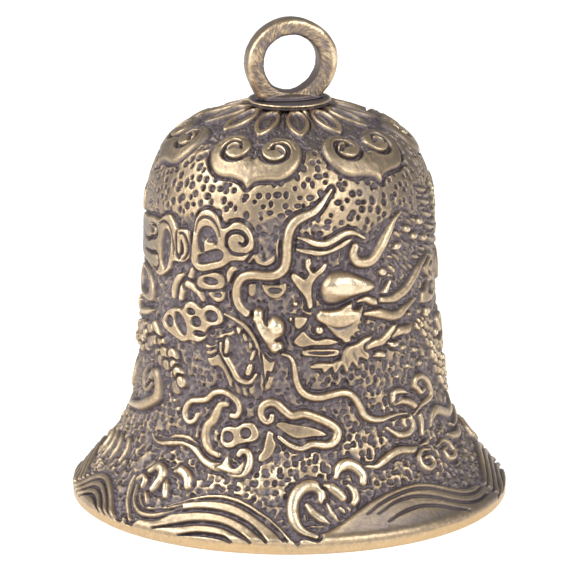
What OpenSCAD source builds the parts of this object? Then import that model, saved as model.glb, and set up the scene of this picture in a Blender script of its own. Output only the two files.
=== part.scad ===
// Small cast-brass temple bell with a hanging eye and a free-swinging clapper.
// Millimetres. Z is up, the mouth of the bell stands on z = 0 and its axis is the Z axis.

/* [Shell] */
// Radius of the mouth at the top edge of the plain lip band
mouth_r = 21.1; // [20.8:0.1:21.6]
// Height of the plain lip band
lip_h = 1.0; // [0.8:0.1:1.4]
// How far the lip band stands out past the flare
lip_bulge = 0.1; // [0.05:0.05:0.2]
// Outer radius where the flare meets the barrel
throat_r = 14.8; // [14.5:0.1:15.2]
// Height at which the flare meets the barrel
throat_z = 14.5; // [13.5:0.5:15.5]
// Outer radius where the barrel meets the dome
shoulder_r = 14.0; // [13.6:0.1:14.4]
// Height at which the barrel meets the dome
shoulder_z = 27; // [26:0.5:28]
// Height of the flat on top of the dome
crown_z = 38.7; // [38.2:0.1:39.2]
// Radius of the flat on top of the dome
crown_flat_r = 4.4; // [4.2:0.1:4.8]
// Thickness of the cast wall
wall = 1.6; // [1.4:0.1:1.8]

/* [Hanging eye] */
// Radius of the round hole in the eye
eye_hole_r = 2.75; // [2.4:0.05:2.9]
// Outer radius of the eye
eye_r = 4.35; // [4.2:0.05:4.6]
// Thickness of the eye along its hole
eye_depth = 2.3; // [2:0.1:2.6]
// Rounding of the eye's edges
eye_round = 0.45; // [0.3:0.05:0.6]
// Height of the centre of the eye
eye_z = 42.75; // [42.6:0.05:43]
// Angle by which the eye is turned away from the front of the bell
eye_yaw = 15; // [0:5:45]

/* [Crown fittings] */
// Radius of the thin collar under the eye
collar_r = 4.05; // [3.8:0.05:4.2]
// Thickness of the collar
collar_t = 0.55; // [0.4:0.05:0.6]
// Radius of the eye's shank
shank_r = 1.5; // [1.3:0.1:1.6]
// Radius of the washer under the crown
washer_r = 3.4; // [3.3:0.1:3.8]
// Thickness of the washer
washer_t = 0.6; // [0.5:0.1:0.8]
// Width of the nut across its flats
nut_af = 5.5; // [5.5:0.1:6]
// Height of the nut
nut_h = 2.0; // [1.8:0.1:2.2]

/* [Clapper] */
// Radius of the staple's wire
staple_wire_r = 0.6; // [0.5:0.05:0.6]
// Radius of the staple's loop, to the centre of the wire
staple_loop_r = 1.7; // [1.7:0.05:1.9]
// Radius of the link's wire
link_wire_r = 0.5; // [0.45:0.05:0.5]
// Radius of the clapper rod
rod_r = 0.6; // [0.5:0.05:0.6]
// Radius of the clapper ball
ball_r = 4.0; // [3.6:0.1:4.2]
// Height of the centre of the ball
ball_z = 7.5; // [7:0.1:8]

/* [Hidden] */
$fn = 64;

brass = "darkgoldenrod";
dark_brass = "saddlebrown";
bright_brass = "goldenrod";
steel = "lightslategray";

curve_steps = 12;               // outline points along each curve of the shell
gap = 0.05;                     // radial clearance of a shank or rod in its hole
wire_gap = 0.1;                 // clearance between two loops that hang in each other

// Control points [radius, height] of the three curves of the shell's outline.
flare = [
    [mouth_r, lip_h], [mouth_r - 3.5, lip_h + 5.4],
    [throat_r + 0.7, lip_h + 4.6], [throat_r, throat_z]
];
barrel = [
    [throat_r, throat_z], [throat_r - 0.3, throat_z + 4],
    [shoulder_r, shoulder_z - 3.2], [shoulder_r, shoulder_z]
];
dome = [
    [shoulder_r, shoulder_z], [shoulder_r, shoulder_z + 8.2],
    [crown_flat_r + 6, crown_z - 1.6], [crown_flat_r, crown_z]
];

crown_under = crown_z - wall;
washer_z = crown_under - washer_t;
nut_z = washer_z - nut_h;
shank_end = nut_z - 0.4;        // the shank shows a little under the nut
collar_top = crown_z + collar_t;

foot_r = 3.3;                   // flared foot of the eye, where it sits on the collar
foot_h = 0.6;

stem_r = 0.7;                   // stem of the staple, set in the end of the shank
stem_h = 2.6;
stem_shoulder_r = 1.2;
stem_shoulder_h = 0.6;

// Each loop below hangs on the one above: these are the heights of the wires' centres.
staple_z = shank_end - stem_shoulder_h - staple_loop_r - staple_wire_r + 0.3;
staple_low = staple_z - staple_loop_r;
link_bend_r = staple_wire_r + wire_gap + link_wire_r;
link_drop = 1.8;                // distance between the centres of the link's two bends
link_low = staple_low - link_drop - link_bend_r;
rod_eye_r = link_wire_r + wire_gap + rod_r;
peen_r = 1.15;                  // rod's end, hammered over under the ball
peen_h = 0.6;
ball_neck_r = 1.7;              // short turned neck on top of the ball
ball_neck_h = 1.2;

// Point at t on a curve with four control points.
function on_curve(p, t) =
    pow(1 - t, 3) * p[0] + 3 * pow(1 - t, 2) * t * p[1]
    + 3 * (1 - t) * t * t * p[2] + pow(t, 3) * p[3];

// Direction of the curve at t.
function along(p, t) =
    pow(1 - t, 2) * (p[1] - p[0]) + 2 * (1 - t) * t * (p[2] - p[1]) + t * t * (p[3] - p[2]);

// Point at t, moved inwards by the thickness w.
function inside_curve(p, t, w) =
    let (d = along(p, t) / norm(along(p, t))) on_curve(p, t) + w * [-d[1], d[0]];

// Points of all three curves from the lip to the crown, moved inwards by w.
function shell_points(w) = concat(
    [for (i = [0 : curve_steps - 1]) inside_curve(flare, i / curve_steps, w)],
    [for (i = [0 : curve_steps - 1]) inside_curve(barrel, i / curve_steps, w)],
    [for (i = [0 : curve_steps]) inside_curve(dome, i / curve_steps, w)]
);

function reversed(v) = [for (i = [len(v) - 1 : -1 : 0]) v[i]];

module ring_section(width, height, rounding) {
    square([width - 2 * rounding, height], center = true);
    square([width, height - 2 * rounding], center = true);
    for (x = [-1, 1], y = [-1, 1])
        translate([x * (width / 2 - rounding), y * (height / 2 - rounding)]) circle(r = rounding);
}

module wire_ring(loop_r, wire_r, angle = 360, start = 0) {
    rotate_extrude(angle = angle, start = start) translate([loop_r, 0]) circle(r = wire_r);
}

// Cast shell: flared mouth with a plain lip band, barrel, dome, and a hole for the shank.
module bell_body() {
    lip = [
        [mouth_r + lip_bulge, lip_h - 0.15], [mouth_r + lip_bulge, 0.3],
        [mouth_r - 0.15, 0], [mouth_r - wall, 0]
    ];
    color(dark_brass)
    rotate_extrude($fn = 128)
        polygon(concat(
            reversed(lip), shell_points(0),
            [[shank_r + gap, crown_z], [shank_r + gap, crown_under]],
            reversed(shell_points(wall))
        ));
}

// Thin disc between the crown and the eye.
module crown_collar() {
    color(brass)
    difference() {
        translate([0, 0, crown_z]) cylinder(r = collar_r, h = collar_t);
        translate([0, 0, crown_z - 1]) cylinder(r = shank_r + gap, h = collar_t + 2);
    }
}

// Round eye cut off flat at the collar, on a flared foot, with a shank down through the crown.
module hanging_eye() {
    color(bright_brass)
    difference() {
        union() {
            difference() {
                translate([0, 0, eye_z]) rotate([90, 0, eye_yaw])
                    rotate_extrude()
                        translate([(eye_hole_r + eye_r) / 2, 0])
                            ring_section(eye_r - eye_hole_r, eye_depth, eye_round);
                translate([-eye_r, -eye_r, collar_top - eye_r]) cube([2 * eye_r, 2 * eye_r, eye_r]);
            }
            translate([0, 0, collar_top]) cylinder(r1 = foot_r, r2 = foot_r - foot_h, h = foot_h);
            translate([0, 0, shank_end]) cylinder(r = shank_r, h = collar_top + foot_h / 2 - shank_end);
        }
        translate([0, 0, shank_end - 1]) cylinder(r = stem_r + gap, h = stem_h + 1);
    }
}

module crown_washer() {
    color(steel)
    translate([0, 0, washer_z])
        difference() {
            cylinder(r = washer_r, h = washer_t);
            translate([0, 0, -1]) cylinder(r = shank_r + gap, h = washer_t + 2);
        }
}

module crown_nut() {
    color(steel)
    translate([0, 0, nut_z])
        difference() {
            cylinder(d = nut_af / cos(30), h = nut_h, $fn = 6);
            translate([0, 0, -1]) cylinder(r = shank_r + gap, h = nut_h + 2);
        }
}

// Fixed loop that the clapper hangs from: its plane is XZ and its stem is set in the shank.
module clapper_staple() {
    color(bright_brass)
    union() {
        translate([0, 0, staple_z]) rotate([90, 0, 0]) wire_ring(staple_loop_r, staple_wire_r);
        translate([0, 0, shank_end - stem_shoulder_h]) cylinder(r = stem_shoulder_r, h = stem_shoulder_h);
        translate([0, 0, shank_end - 0.1]) cylinder(r = stem_r, h = stem_h);
    }
}

// Closed oval link in the YZ plane, round the staple's wire and the rod's eye.
module clapper_link() {
    color(steel)
    translate([0, 0, staple_low]) rotate([90, 0, 90])
        union() {
            wire_ring(link_bend_r, link_wire_r, 180, 0);
            translate([0, -link_drop, 0]) wire_ring(link_bend_r, link_wire_r, 180, 180);
            for (side = [-1, 1])
                translate([side * link_bend_r, 0, 0])
                    rotate([90, 0, 0]) cylinder(r = link_wire_r, h = link_drop);
        }
}

// Wire with an eye at the top, and an end hammered over under the ball.
module clapper_rod() {
    ball_bottom = ball_z - ball_r;
    color(steel)
    union() {
        translate([0, 0, link_low]) rotate([90, 0, 0]) wire_ring(rod_eye_r, rod_r);
        translate([0, 0, ball_bottom - 0.1]) cylinder(r = rod_r, h = link_low - rod_eye_r - ball_bottom + 0.1);
        translate([0, 0, ball_bottom - peen_h + 0.2])
            cylinder(r1 = peen_r - 0.4, r2 = peen_r, h = peen_h);
    }
}

// Turned ball with a short neck, drilled for the rod and spot-faced underneath for its end.
module clapper_ball() {
    ball_bottom = ball_z - ball_r;
    color(brass)
    difference() {
        union() {
            translate([0, 0, ball_z]) sphere(r = ball_r);
            translate([0, 0, ball_z + ball_r - 0.5]) cylinder(r = ball_neck_r, h = ball_neck_h);
        }
        translate([0, 0, ball_bottom - 1]) cylinder(r = rod_r + gap, h = 2 * ball_r + ball_neck_h + 2);
        translate([0, 0, ball_bottom - 1]) cylinder(r = peen_r + gap, h = 1.2);
    }
}

bell_body();
crown_collar();
hanging_eye();
crown_washer();
crown_nut();
clapper_staple();
clapper_link();
clapper_rod();
clapper_ball();
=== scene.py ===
"""Looks of the small cast-brass temple bell.

Blender works in metres. The relief is designed in millimetres on a chart of the shell: azimuth in degrees
(0 is the front, -Y, and positive azimuth is towards +X) against the length along the outline in mm, from
the plane of the mouth upwards. Every point list below is written as (azimuth, length).
"""
import math

import bpy
import numpy as np
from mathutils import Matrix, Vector, noise


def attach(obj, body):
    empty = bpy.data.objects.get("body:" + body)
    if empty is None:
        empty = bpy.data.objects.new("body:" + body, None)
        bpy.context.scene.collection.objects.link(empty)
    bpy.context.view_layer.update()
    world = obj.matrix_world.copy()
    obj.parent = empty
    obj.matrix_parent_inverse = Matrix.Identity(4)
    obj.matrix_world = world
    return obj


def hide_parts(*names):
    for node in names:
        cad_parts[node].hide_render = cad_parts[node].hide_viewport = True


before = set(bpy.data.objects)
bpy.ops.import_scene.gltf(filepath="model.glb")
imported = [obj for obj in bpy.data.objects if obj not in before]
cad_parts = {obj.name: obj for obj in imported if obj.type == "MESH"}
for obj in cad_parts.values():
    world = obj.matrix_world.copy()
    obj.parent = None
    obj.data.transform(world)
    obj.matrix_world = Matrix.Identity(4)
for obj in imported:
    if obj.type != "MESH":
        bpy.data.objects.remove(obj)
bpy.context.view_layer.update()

MM = 0.001
rng = np.random.default_rng(7)          # all the noise of the shell, in the order in which it is asked for


# ---------------------------------------------------------------- camera, floor and lights

AIM = (0.0, 0.0, 0.022)                 # the camera and the lights look at the middle of the bell
CAMERA_PLACE = (0.0, -0.400, 0.1245)
LENS_MM, SENSOR_MM = 265.9, 36.0
SHIFT_X, SHIFT_Y = -0.0026, -0.0288     # puts the bell where it stands in the photograph
NEAREST = 0.01

FLOOR_HALF = 4.0
PAPER = (0.50, 0.50, 0.495)
PAPER_GLOW = (1.0, 0.99, 0.98)
PAPER_GLOW_STRENGTH = 0.80              # the photograph's ground is almost white
COOL_WHITE = (0.93, 0.97, 1.0)
WORLD_STRENGTH = 0.44


def add_object(name, data):
    thing = bpy.data.objects.new(name, data)
    bpy.context.collection.objects.link(thing)
    return thing


def look_from(thing, place):
    """Puts a camera or a light at a place and points it at the bell."""
    thing.location = place
    thing.rotation_euler = (Vector(AIM) - Vector(place)).to_track_quat("-Z", "Y").to_euler()


def add_camera():
    data = bpy.data.cameras.new("camera")
    data.sensor_width = SENSOR_MM
    data.lens = LENS_MM
    data.shift_x = SHIFT_X
    data.shift_y = SHIFT_Y
    data.clip_start = NEAREST
    camera = add_object("camera", data)
    look_from(camera, CAMERA_PLACE)
    bpy.context.scene.camera = camera


def add_softbox(name, place, size, power):
    data = bpy.data.lights.new(name, "AREA")
    data.shape = "RECTANGLE"
    data.size, data.size_y = size
    data.energy = power
    data.color = COOL_WHITE
    look_from(add_object(name, data), place)


def add_studio():
    h = FLOOR_HALF
    floor_mesh = bpy.data.meshes.new("floor")
    floor_mesh.from_pydata([(-h, -h, 0), (h, -h, 0), (h, h, 0), (-h, h, 0)], [], [(0, 1, 2, 3)])
    floor_mesh.materials.append(floor_paper())
    floor = add_object("floor", floor_mesh)

    world = bpy.data.worlds.new("studio")
    world.use_nodes = True
    world.node_tree.nodes["Background"].inputs["Color"].default_value = (*COOL_WHITE, 1.0)
    world.node_tree.nodes["Background"].inputs["Strength"].default_value = WORLD_STRENGTH
    bpy.context.scene.world = world

    add_softbox("left_softbox", (-0.38, -0.154, 0.309), (0.50, 0.47), 2.5)
    add_softbox("right_softbox", (0.30, -0.30, 0.287), (0.34, 0.40), 1.6)
    bpy.context.scene.view_settings.view_transform = "Standard"


# ---------------------------------------------------------------- materials

BRASS_STOPS = [
    (0.00, (0.172, 0.140, 0.150)), (0.25, (0.218, 0.177, 0.168)), (0.50, (0.332, 0.250, 0.172)),
    (0.75, (0.555, 0.405, 0.252)), (1.00, (0.835, 0.690, 0.490)),
]                                       # from the dark oxide to brass worn bright; the map that picks among them also carries painted shade and highlights
BARE_BRASS_AND_WARM_REFLECTION = (0.660, 0.445, 0.225)      # bare brass where no oxide was ever put on, made warm orange partly as a painted warm reflection
BUMP_DEPTH = 0.05 * MM


class Nodes:
    """Short calls for building a material's node tree."""

    def __init__(self, name, metallic=1.0):
        self.material = bpy.data.materials.new(name)
        self.material.use_nodes = True
        self.tree = self.material.node_tree
        self.shader = self.tree.nodes["Principled BSDF"]
        self.shader.inputs["Metallic"].default_value = metallic

    def add(self, kind, **settings):
        node = self.tree.nodes.new(kind)
        for key, value in settings.items():
            setattr(node, key, value)
        return node

    def link(self, source, target):
        self.tree.links.new(source, target)

    def noise(self, scale, detail=4.0, rough=0.6):
        place = self.add("ShaderNodeTexCoord")
        node = self.add("ShaderNodeTexNoise")
        node.inputs["Scale"].default_value = scale
        node.inputs["Detail"].default_value = detail
        node.inputs["Roughness"].default_value = rough
        self.link(place.outputs["Object"], node.inputs["Vector"])
        return node.outputs["Fac"]

    def ramp(self, value, stops):
        node = self.add("ShaderNodeValToRGB")
        elements = node.color_ramp.elements
        while len(elements) < len(stops):
            elements.new(0.5)
        for element, (position, colour) in zip(elements, stops):
            element.position = position
            element.color = (*colour, 1.0)
        self.link(value, node.inputs["Fac"])
        return node.outputs["Color"]

    def math(self, operation, a, b, clamp=False):
        node = self.add("ShaderNodeMath", operation=operation, use_clamp=clamp)
        for socket, value in zip(node.inputs, (a, b)):
            if isinstance(value, float):
                socket.default_value = value
            else:
                self.link(value, socket)
        return node.outputs[0]

    def around_zero(self, value, amount):
        """A noise, which lies round 0.5, as a change up and down."""
        return self.math("MULTIPLY", self.math("SUBTRACT", value, 0.5), amount)

    def attribute(self, name):
        return self.add("ShaderNodeAttribute", attribute_name=name).outputs["Fac"]

    def rescale(self, value, low, high):
        node = self.add("ShaderNodeMapRange")
        self.link(value, node.inputs["Value"])
        node.inputs["To Min"].default_value = low
        node.inputs["To Max"].default_value = high
        return node.outputs["Result"]

    def bump(self, value, strength):
        node = self.add("ShaderNodeBump")
        node.inputs["Strength"].default_value = strength
        node.inputs["Distance"].default_value = BUMP_DEPTH
        self.link(value, node.inputs["Height"])
        self.link(node.outputs["Normal"], self.shader.inputs["Normal"])


def floor_paper():
    n = Nodes("floor_paper", metallic=0.0)
    n.shader.inputs["Base Color"].default_value = (*PAPER, 1.0)
    n.shader.inputs["Roughness"].default_value = 0.9
    n.shader.inputs["Emission Color"].default_value = (*PAPER_GLOW, 1.0)
    n.shader.inputs["Emission Strength"].default_value = PAPER_GLOW_STRENGTH
    return n.material


def antique_brass(name, grain):
    """Dark in the recesses and bright on top, driven by two attributes of the mesh: rubbing with painted
    shade and highlights, and bare metal.
    """
    n = Nodes(name)
    mottle = n.around_zero(n.noise(grain, 6.0, 0.7), 0.70)
    speckle = n.around_zero(n.noise(9000.0, 2.0), 0.45)
    wear = n.math("ADD", n.attribute("wear"), n.math("ADD", mottle, speckle), clamp=True)
    mix = n.add("ShaderNodeMix", data_type="RGBA")
    n.link(n.attribute("bare"), mix.inputs["Factor"])
    n.link(n.ramp(wear, BRASS_STOPS), mix.inputs["A"])
    mix.inputs["B"].default_value = (*BARE_BRASS_AND_WARM_REFLECTION, 1.0)
    n.link(mix.outputs["Result"], n.shader.inputs["Base Color"])
    n.link(n.rescale(wear, 0.60, 0.27), n.shader.inputs["Roughness"])
    n.bump(n.noise(6500.0, 5.0, 0.7), 0.45)
    return n.material


def rubbed_metal(name, dark, bright, roughness):
    """Brass or steel without relief, a little brighter and smoother in patches."""
    n = Nodes(name)
    scale = 1500.0
    patches = n.noise(scale, 5.0, 0.65)
    n.link(n.ramp(patches, [(0.30, dark), (0.70, bright)]), n.shader.inputs["Base Color"])
    n.link(n.rescale(n.noise(scale * 2.0), roughness + 0.10, roughness - 0.08), n.shader.inputs["Roughness"])
    n.bump(n.noise(scale * 3.0, 4.0), 0.35)
    return n.material


# ---------------------------------------------------------------- outline of the shell

# The same values as in the CAD source, in mm.
MOUTH_R = 21.1
LIP_H = 1.0
LIP_BULGE = 0.1
THROAT_R, THROAT_Z = 14.8, 14.5
SHOULDER_R, SHOULDER_Z = 14.0, 27.0
CROWN_Z, CROWN_FLAT_R = 38.7, 4.4
WALL = 1.6
HOLE_R = 1.55                           # of the hole for the eye's shank

FLARE = [(MOUTH_R, LIP_H), (MOUTH_R - 3.5, LIP_H + 5.4), (THROAT_R + 0.7, LIP_H + 4.6), (THROAT_R, THROAT_Z)]
BARREL = [
    (THROAT_R, THROAT_Z), (THROAT_R - 0.3, THROAT_Z + 4), (SHOULDER_R, SHOULDER_Z - 3.2),
    (SHOULDER_R, SHOULDER_Z)]
DOME = [
    (SHOULDER_R, SHOULDER_Z), (SHOULDER_R, SHOULDER_Z + 8.2), (CROWN_FLAT_R + 6, CROWN_Z - 1.6),
    (CROWN_FLAT_R, CROWN_Z)]


def on_curve(p, t):
    """Points at each t on a curve with four control points."""
    p = np.array(p, float)
    t = np.asarray(t, float)[:, None]
    return (1 - t) ** 3 * p[0] + 3 * (1 - t) ** 2 * t * p[1] + 3 * (1 - t) * t * t * p[2] + t ** 3 * p[3]


def outline():
    """Points (radius, height) close together from the bottom of the lip to the edge of the crown's flat."""
    t = np.linspace(0, 1, 200)
    lip = [(MOUTH_R - 0.15, 0.0), (MOUTH_R + LIP_BULGE, 0.25), (MOUTH_R + LIP_BULGE, LIP_H - 0.1)]
    return np.vstack([lip, on_curve(FLARE, t), on_curve(BARREL, t)[1:], on_curve(DOME, t)[1:]])


def lengths_along(points, across=1.0):
    """Length along a path up to each of its points; across turns the first coordinate into mm."""
    steps = np.diff(points, axis=0)
    return np.concatenate([[0], np.cumsum(np.hypot(steps[:, 0] * across, steps[:, 1]))])


OUTLINE = outline()
LENGTHS = lengths_along(OUTLINE)
TOP_S = LENGTHS[-1]

# The chart's grid: one column for each azimuth, one row for each length along the outline.
COLS, ROWS = 1300, 660
AZ = -180.0 + 360.0 / COLS * np.arange(COLS)
S = np.linspace(0.0, TOP_S, ROWS)
UP = S[:, None]
AROUND = AZ[None, :]
ROW_STEP = S[1] - S[0]
RADIUS = np.interp(S, LENGTHS, OUTLINE[:, 0])
MM_PER_DEG = RADIUS * math.pi / 180.0
MIDDLE_R = 14.5                         # the blur takes this radius everywhere

GROUND = -0.50                          # the relief's ground lies this far below the shell's plain outline
GAIN = 1.3                              # all heights of the relief are multiplied by this
FLANK = 0.22                            # how much wider a band is at its foot than the width given for it


# ---------------------------------------------------------------- tools for drawing the relief

def smooth(edge0, edge1, x):
    """0 before edge0 and 1 after edge1, with a soft change between them."""
    t = np.clip((x - edge0) / (edge1 - edge0), 0.0, 1.0)
    return t * t * (3 - 2 * t)


def curve(points, closed=False, steps=7):
    """Smooth path through the points."""
    p = np.array(points, float)
    if closed:
        p = np.vstack([p[-1], p, p[0], p[1]])
    else:
        p = np.vstack([2 * p[0] - p[1], p, 2 * p[-1] - p[-2]])
    t = (np.arange(steps) / steps)[:, None]
    out = []
    for a, b, c, d in zip(p, p[1:], p[2:], p[3:]):
        square, cube = 2 * a - 5 * b + 4 * c - d, 3 * b - a - 3 * c + d
        out.append(0.5 * (2 * b + (c - a) * t + square * t ** 2 + cube * t ** 3))
    if not closed:
        out.append(p[-2][None])
    return np.vstack(out)


def moved(points, az=0.0, s=0.0, flip=1, grow=1.0):
    """The same points at another place on the shell, mirrored if flip is -1."""
    return [(az + flip * grow * a, s + grow * v) for a, v in points]


def mm_per_degree(s):
    return float(np.interp(s, S, MM_PER_DEG))


def oval(az, s, across, up, turn=0.0, count=14):
    """Points round an oval, across and up in mm, turned by so many degrees."""
    k = mm_per_degree(s)
    c, d = math.cos(math.radians(turn)), math.sin(math.radians(turn))
    ring = []
    for q in np.linspace(0, 2 * math.pi, count, endpoint=False):
        x, y = across / 2 * math.cos(q), up / 2 * math.sin(q)
        ring.append((az + (x * c - y * d) / k, s + x * d + y * c))
    return ring


def narrowing(taper, t):
    """Width at t, from 0 to 1 along a path: taper gives it at each end as a share of the middle's."""
    start, end = taper
    return np.minimum(start + (1 - start) * smooth(0, 0.3, t), end + (1 - end) * smooth(0, 0.3, 1 - t))


class Relief:
    """Height in mm above the ground, on the chart."""

    def __init__(self):
        self.h = np.zeros((ROWS, COLS))

    def window(self, path, reach):
        """Where the grid lies within reach mm of the path: an index into it, and its chart coordinates."""
        low, high = path.min(axis=0), path.max(axis=0)
        r0 = max(0, int((low[1] - reach) / ROW_STEP))
        r1 = min(ROWS, int((high[1] + reach) / ROW_STEP) + 2)
        side = reach / MM_PER_DEG[r0:r1].min()
        c0 = int((low[0] - side + 180) * COLS / 360)
        c1 = int((high[0] + side + 180) * COLS / 360) + 2
        rows = np.arange(r0, r1)
        cols = np.arange(c0, c1)
        az = -180.0 + 360.0 / COLS * cols
        return np.ix_(rows, cols % COLS), az[None, :], S[rows][:, None], MM_PER_DEG[rows][:, None]

    def distance(self, path, az, s, k, closed=False):
        """Distance in mm to the path, and how far along it the nearest point is, from 0 to 1."""
        best = np.full(np.broadcast_shapes(az.shape, s.shape), 1e9)
        where = np.zeros_like(best)
        ends = np.roll(path, -1, axis=0) if closed else path[1:]
        starts = path if closed else path[:-1]
        for i, (a, b) in enumerate(zip(starts, ends)):
            dx, dy = (b[0] - a[0]) * k, b[1] - a[1]
            px, py = (az - a[0]) * k, s - a[1]
            t = np.clip((px * dx + py * dy) / (dx * dx + dy * dy + 1e-9), 0, 1)
            d = np.hypot(px - t * dx, py - t * dy)
            near = d < best
            best = np.where(near, d, best)
            where = np.where(near, (i + t) / len(starts), where)
        return best, where

    def beyond(self, path, az, s, k):
        """Distance in mm to the closed path, negative inside it."""
        odd = np.zeros(np.broadcast_shapes(az.shape, s.shape), bool)
        for a, b in zip(path, np.roll(path, -1, axis=0)):
            if a[1] == b[1]:
                continue
            spans = (a[1] > s) != (b[1] > s)
            odd ^= spans & (az < (b[0] - a[0]) * (s - a[1]) / (b[1] - a[1]) + a[0])
        d, _ = self.distance(path, az, s, k, closed=True)
        return np.where(odd, -d, d)

    def lay(self, here, beyond, top, moat):
        """Puts a motif down: its height where beyond < 0, and a moat cut round it."""
        around = self.h[here]
        if moat:
            around = np.minimum(around, 0.02 + (around + 0.12) * smooth(0.0, moat, beyond))
        self.h[here] = np.where(beyond < 0, np.maximum(top, 0.02), around)

    def cut(self, here, depth, floor):
        """Takes so much off, but no deeper than the floor."""
        height = self.h[here]
        self.h[here] = np.minimum(height, np.maximum(height - depth, floor))

    def stroke(self, points, width, top=0.5, taper=(1.0, 1.0), flat=2.6, moat=0.42, crease=0.0):
        """A raised band along a smooth path. taper gives its width at each end as a share of the middle."""
        path = curve(points)
        here, az, s, k = self.window(path, (width + FLANK) / 2 + moat + 0.1)
        d, t = self.distance(path, az, s, k)
        share = narrowing(taper, t)
        half = (width + FLANK) / 2 * share
        shape = top * (0.55 + 0.45 * share) * (1 - np.clip(d / half, 0, 1) ** flat) ** 0.75
        shape -= crease * np.exp(-(d / 0.11) ** 2)
        self.lay(here, d - half, shape, moat)

    def plate(self, points, top=0.5, bevel=0.35, dome=0.0, moat=0.4, corners=False):
        """A raised area inside a closed outline."""
        path = np.array(points, float) if corners else curve(points, closed=True)
        here, az, s, k = self.window(path, moat + 0.1)
        beyond = self.beyond(path, az, s, k) - 0.06
        shape = top * (1 - (1 - np.clip(-beyond / bevel, 0, 1)) ** 2.5) + dome * np.clip(-beyond, 0, 3) ** 0.7
        self.lay(here, beyond, shape, moat)

    def sink(self, points, depth, soft, floor=0.04):
        """A sunken area inside a closed outline."""
        path = curve(points, closed=True)
        here, az, s, k = self.window(path, soft + 0.1)
        self.cut(here, depth * smooth(soft, -soft, self.beyond(path, az, s, k)), floor)

    def groove(self, points, width, depth, taper):
        """A channel cut along a smooth path."""
        path = curve(points)
        here, az, s, k = self.window(path, width)
        d, t = self.distance(path, az, s, k)
        half = width / 2 * narrowing(taper, t)
        self.cut(here, depth * (1 - smooth(0.45, 1.15, d / np.maximum(half, 0.02))), 0.03)

    def pit(self, az, s, across, up, depth=0.35):
        """An oval dimple, across and up in mm."""
        self.sink(oval(az, s, across, up, count=20), depth, 0.12, 0.02)

    def swell(self, az, s, across, up, top, turn):
        """A rounded swelling that grows out of whatever is there, across and up in mm."""
        here, az_grid, s_grid, k = self.window(np.array([[az, s]]), max(across, up) / 2)
        c, d = math.cos(math.radians(turn)), math.sin(math.radians(turn))
        x, y = (az_grid - az) * k, s_grid - s
        u = np.hypot((x * c + y * d) / (across / 2), (y * c - x * d) / (up / 2))
        self.h[here] += np.clip(top - self.h[here], 0, None) * (1 - smooth(0.25, 1.0, u))


# ---------------------------------------------------------------- grounds

def blurred(values, sigma_mm):
    """Gaussian blur over the chart; the azimuth wraps round, and the ends are padded."""
    pad = 40
    tall = np.pad(values, ((pad, pad), (0, 0)), mode="edge")
    fy = np.fft.fftfreq(tall.shape[0])[:, None] / ROW_STEP
    fx = np.fft.fftfreq(COLS)[None, :] / (2 * math.pi * MIDDLE_R / COLS)
    keep = np.exp(-2 * (math.pi * sigma_mm) ** 2 * (fx ** 2 + fy ** 2))
    return np.fft.ifft2(np.fft.fft2(tall) * keep).real[pad:-pad]


def cast_noise(size_mm, amount):
    grain = blurred(rng.standard_normal((ROWS, COLS)), size_mm)
    return amount * grain / grain.std()


def honeycomb(pitch, jitter, seed):
    """Distance in mm to the nearest of evenly spread, jittered points all over the shell, and a number from
    0 to 1 that belongs to that point."""
    draw = np.random.default_rng(seed)
    first = np.full((ROWS, COLS), 9.0)
    own = np.zeros((ROWS, COLS))
    row_gap = pitch * 0.87
    for j in range(int(TOP_S / row_gap) + 2):
        row_s = j * row_gap
        around = 2 * math.pi * float(np.interp(row_s, S, RADIUS))
        count = max(6, int(round(around / pitch)))
        shift = 0.5 * (j % 2)
        centre_az = (np.arange(count) + shift + draw.uniform(-jitter, jitter, count)) * 360.0 / count - 180
        centre_s = row_s + draw.uniform(-jitter, jitter, count) * pitch
        number = draw.random(count)
        stretch = draw.uniform(0.78, 1.3, count)
        rows = np.where(np.abs(S - row_s) < pitch * 1.7)[0]
        s, k = UP[rows], MM_PER_DEG[rows][:, None]
        slot = np.floor((AZ + 180) / 360 * count - shift).astype(int)
        for step in (-1, 0, 1, 2):
            pick = (slot + step) % count
            off = (AZ - centre_az[pick] + 180) % 360 - 180
            d = np.hypot(off * k * stretch[pick], (s - centre_s[pick]) / stretch[pick])
            nearer = d < first[rows]
            own[rows] = np.where(nearer, number[pick], own[rows])
            first[rows] = np.where(nearer, d, first[rows])
    return first, own


def make_ground(relief):
    """A fine net of pits up to the shoulder, separate pits above it, and a rough surface at the crown."""
    first, own = honeycomb(0.76, 0.27, 3)
    pits = smooth(0.75, 1.3, first / (0.245 + 0.08 * own))
    barrel = smooth(12.5, 15.0, UP + cast_noise(2.0, 1.0))
    top = 0.30 - 0.05 * barrel + cast_noise(0.3, 0.05) + cast_noise(2.2, 0.035)
    net = top * np.where(own < 0.04, 1.0, pits)         # a few pits are filled
    first, own = honeycomb(1.0, 0.34, 5)
    separate = 0.12 + 0.32 * smooth(0.55, 1.3, first / (0.18 + 0.16 * own))
    upper = smooth(30.2, 32.2, UP + cast_noise(1.8, 0.7))
    crown = smooth(38.4, 40.4, UP + cast_noise(1.2, 0.5))
    ground = net * (1 - upper) + separate * upper
    ground = ground * (1 - crown) + (0.10 + cast_noise(0.35, 0.05)) * crown
    relief.h = np.maximum(ground + cast_noise(1.6, 0.03), 0.0)


# ---------------------------------------------------------------- motifs that repeat

HIDDEN = 0.4                            # a motif that reaches down to here runs behind the lip
LIP_EDGE = 1.05                         # the waves stand on the upper edge of the lip


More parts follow.
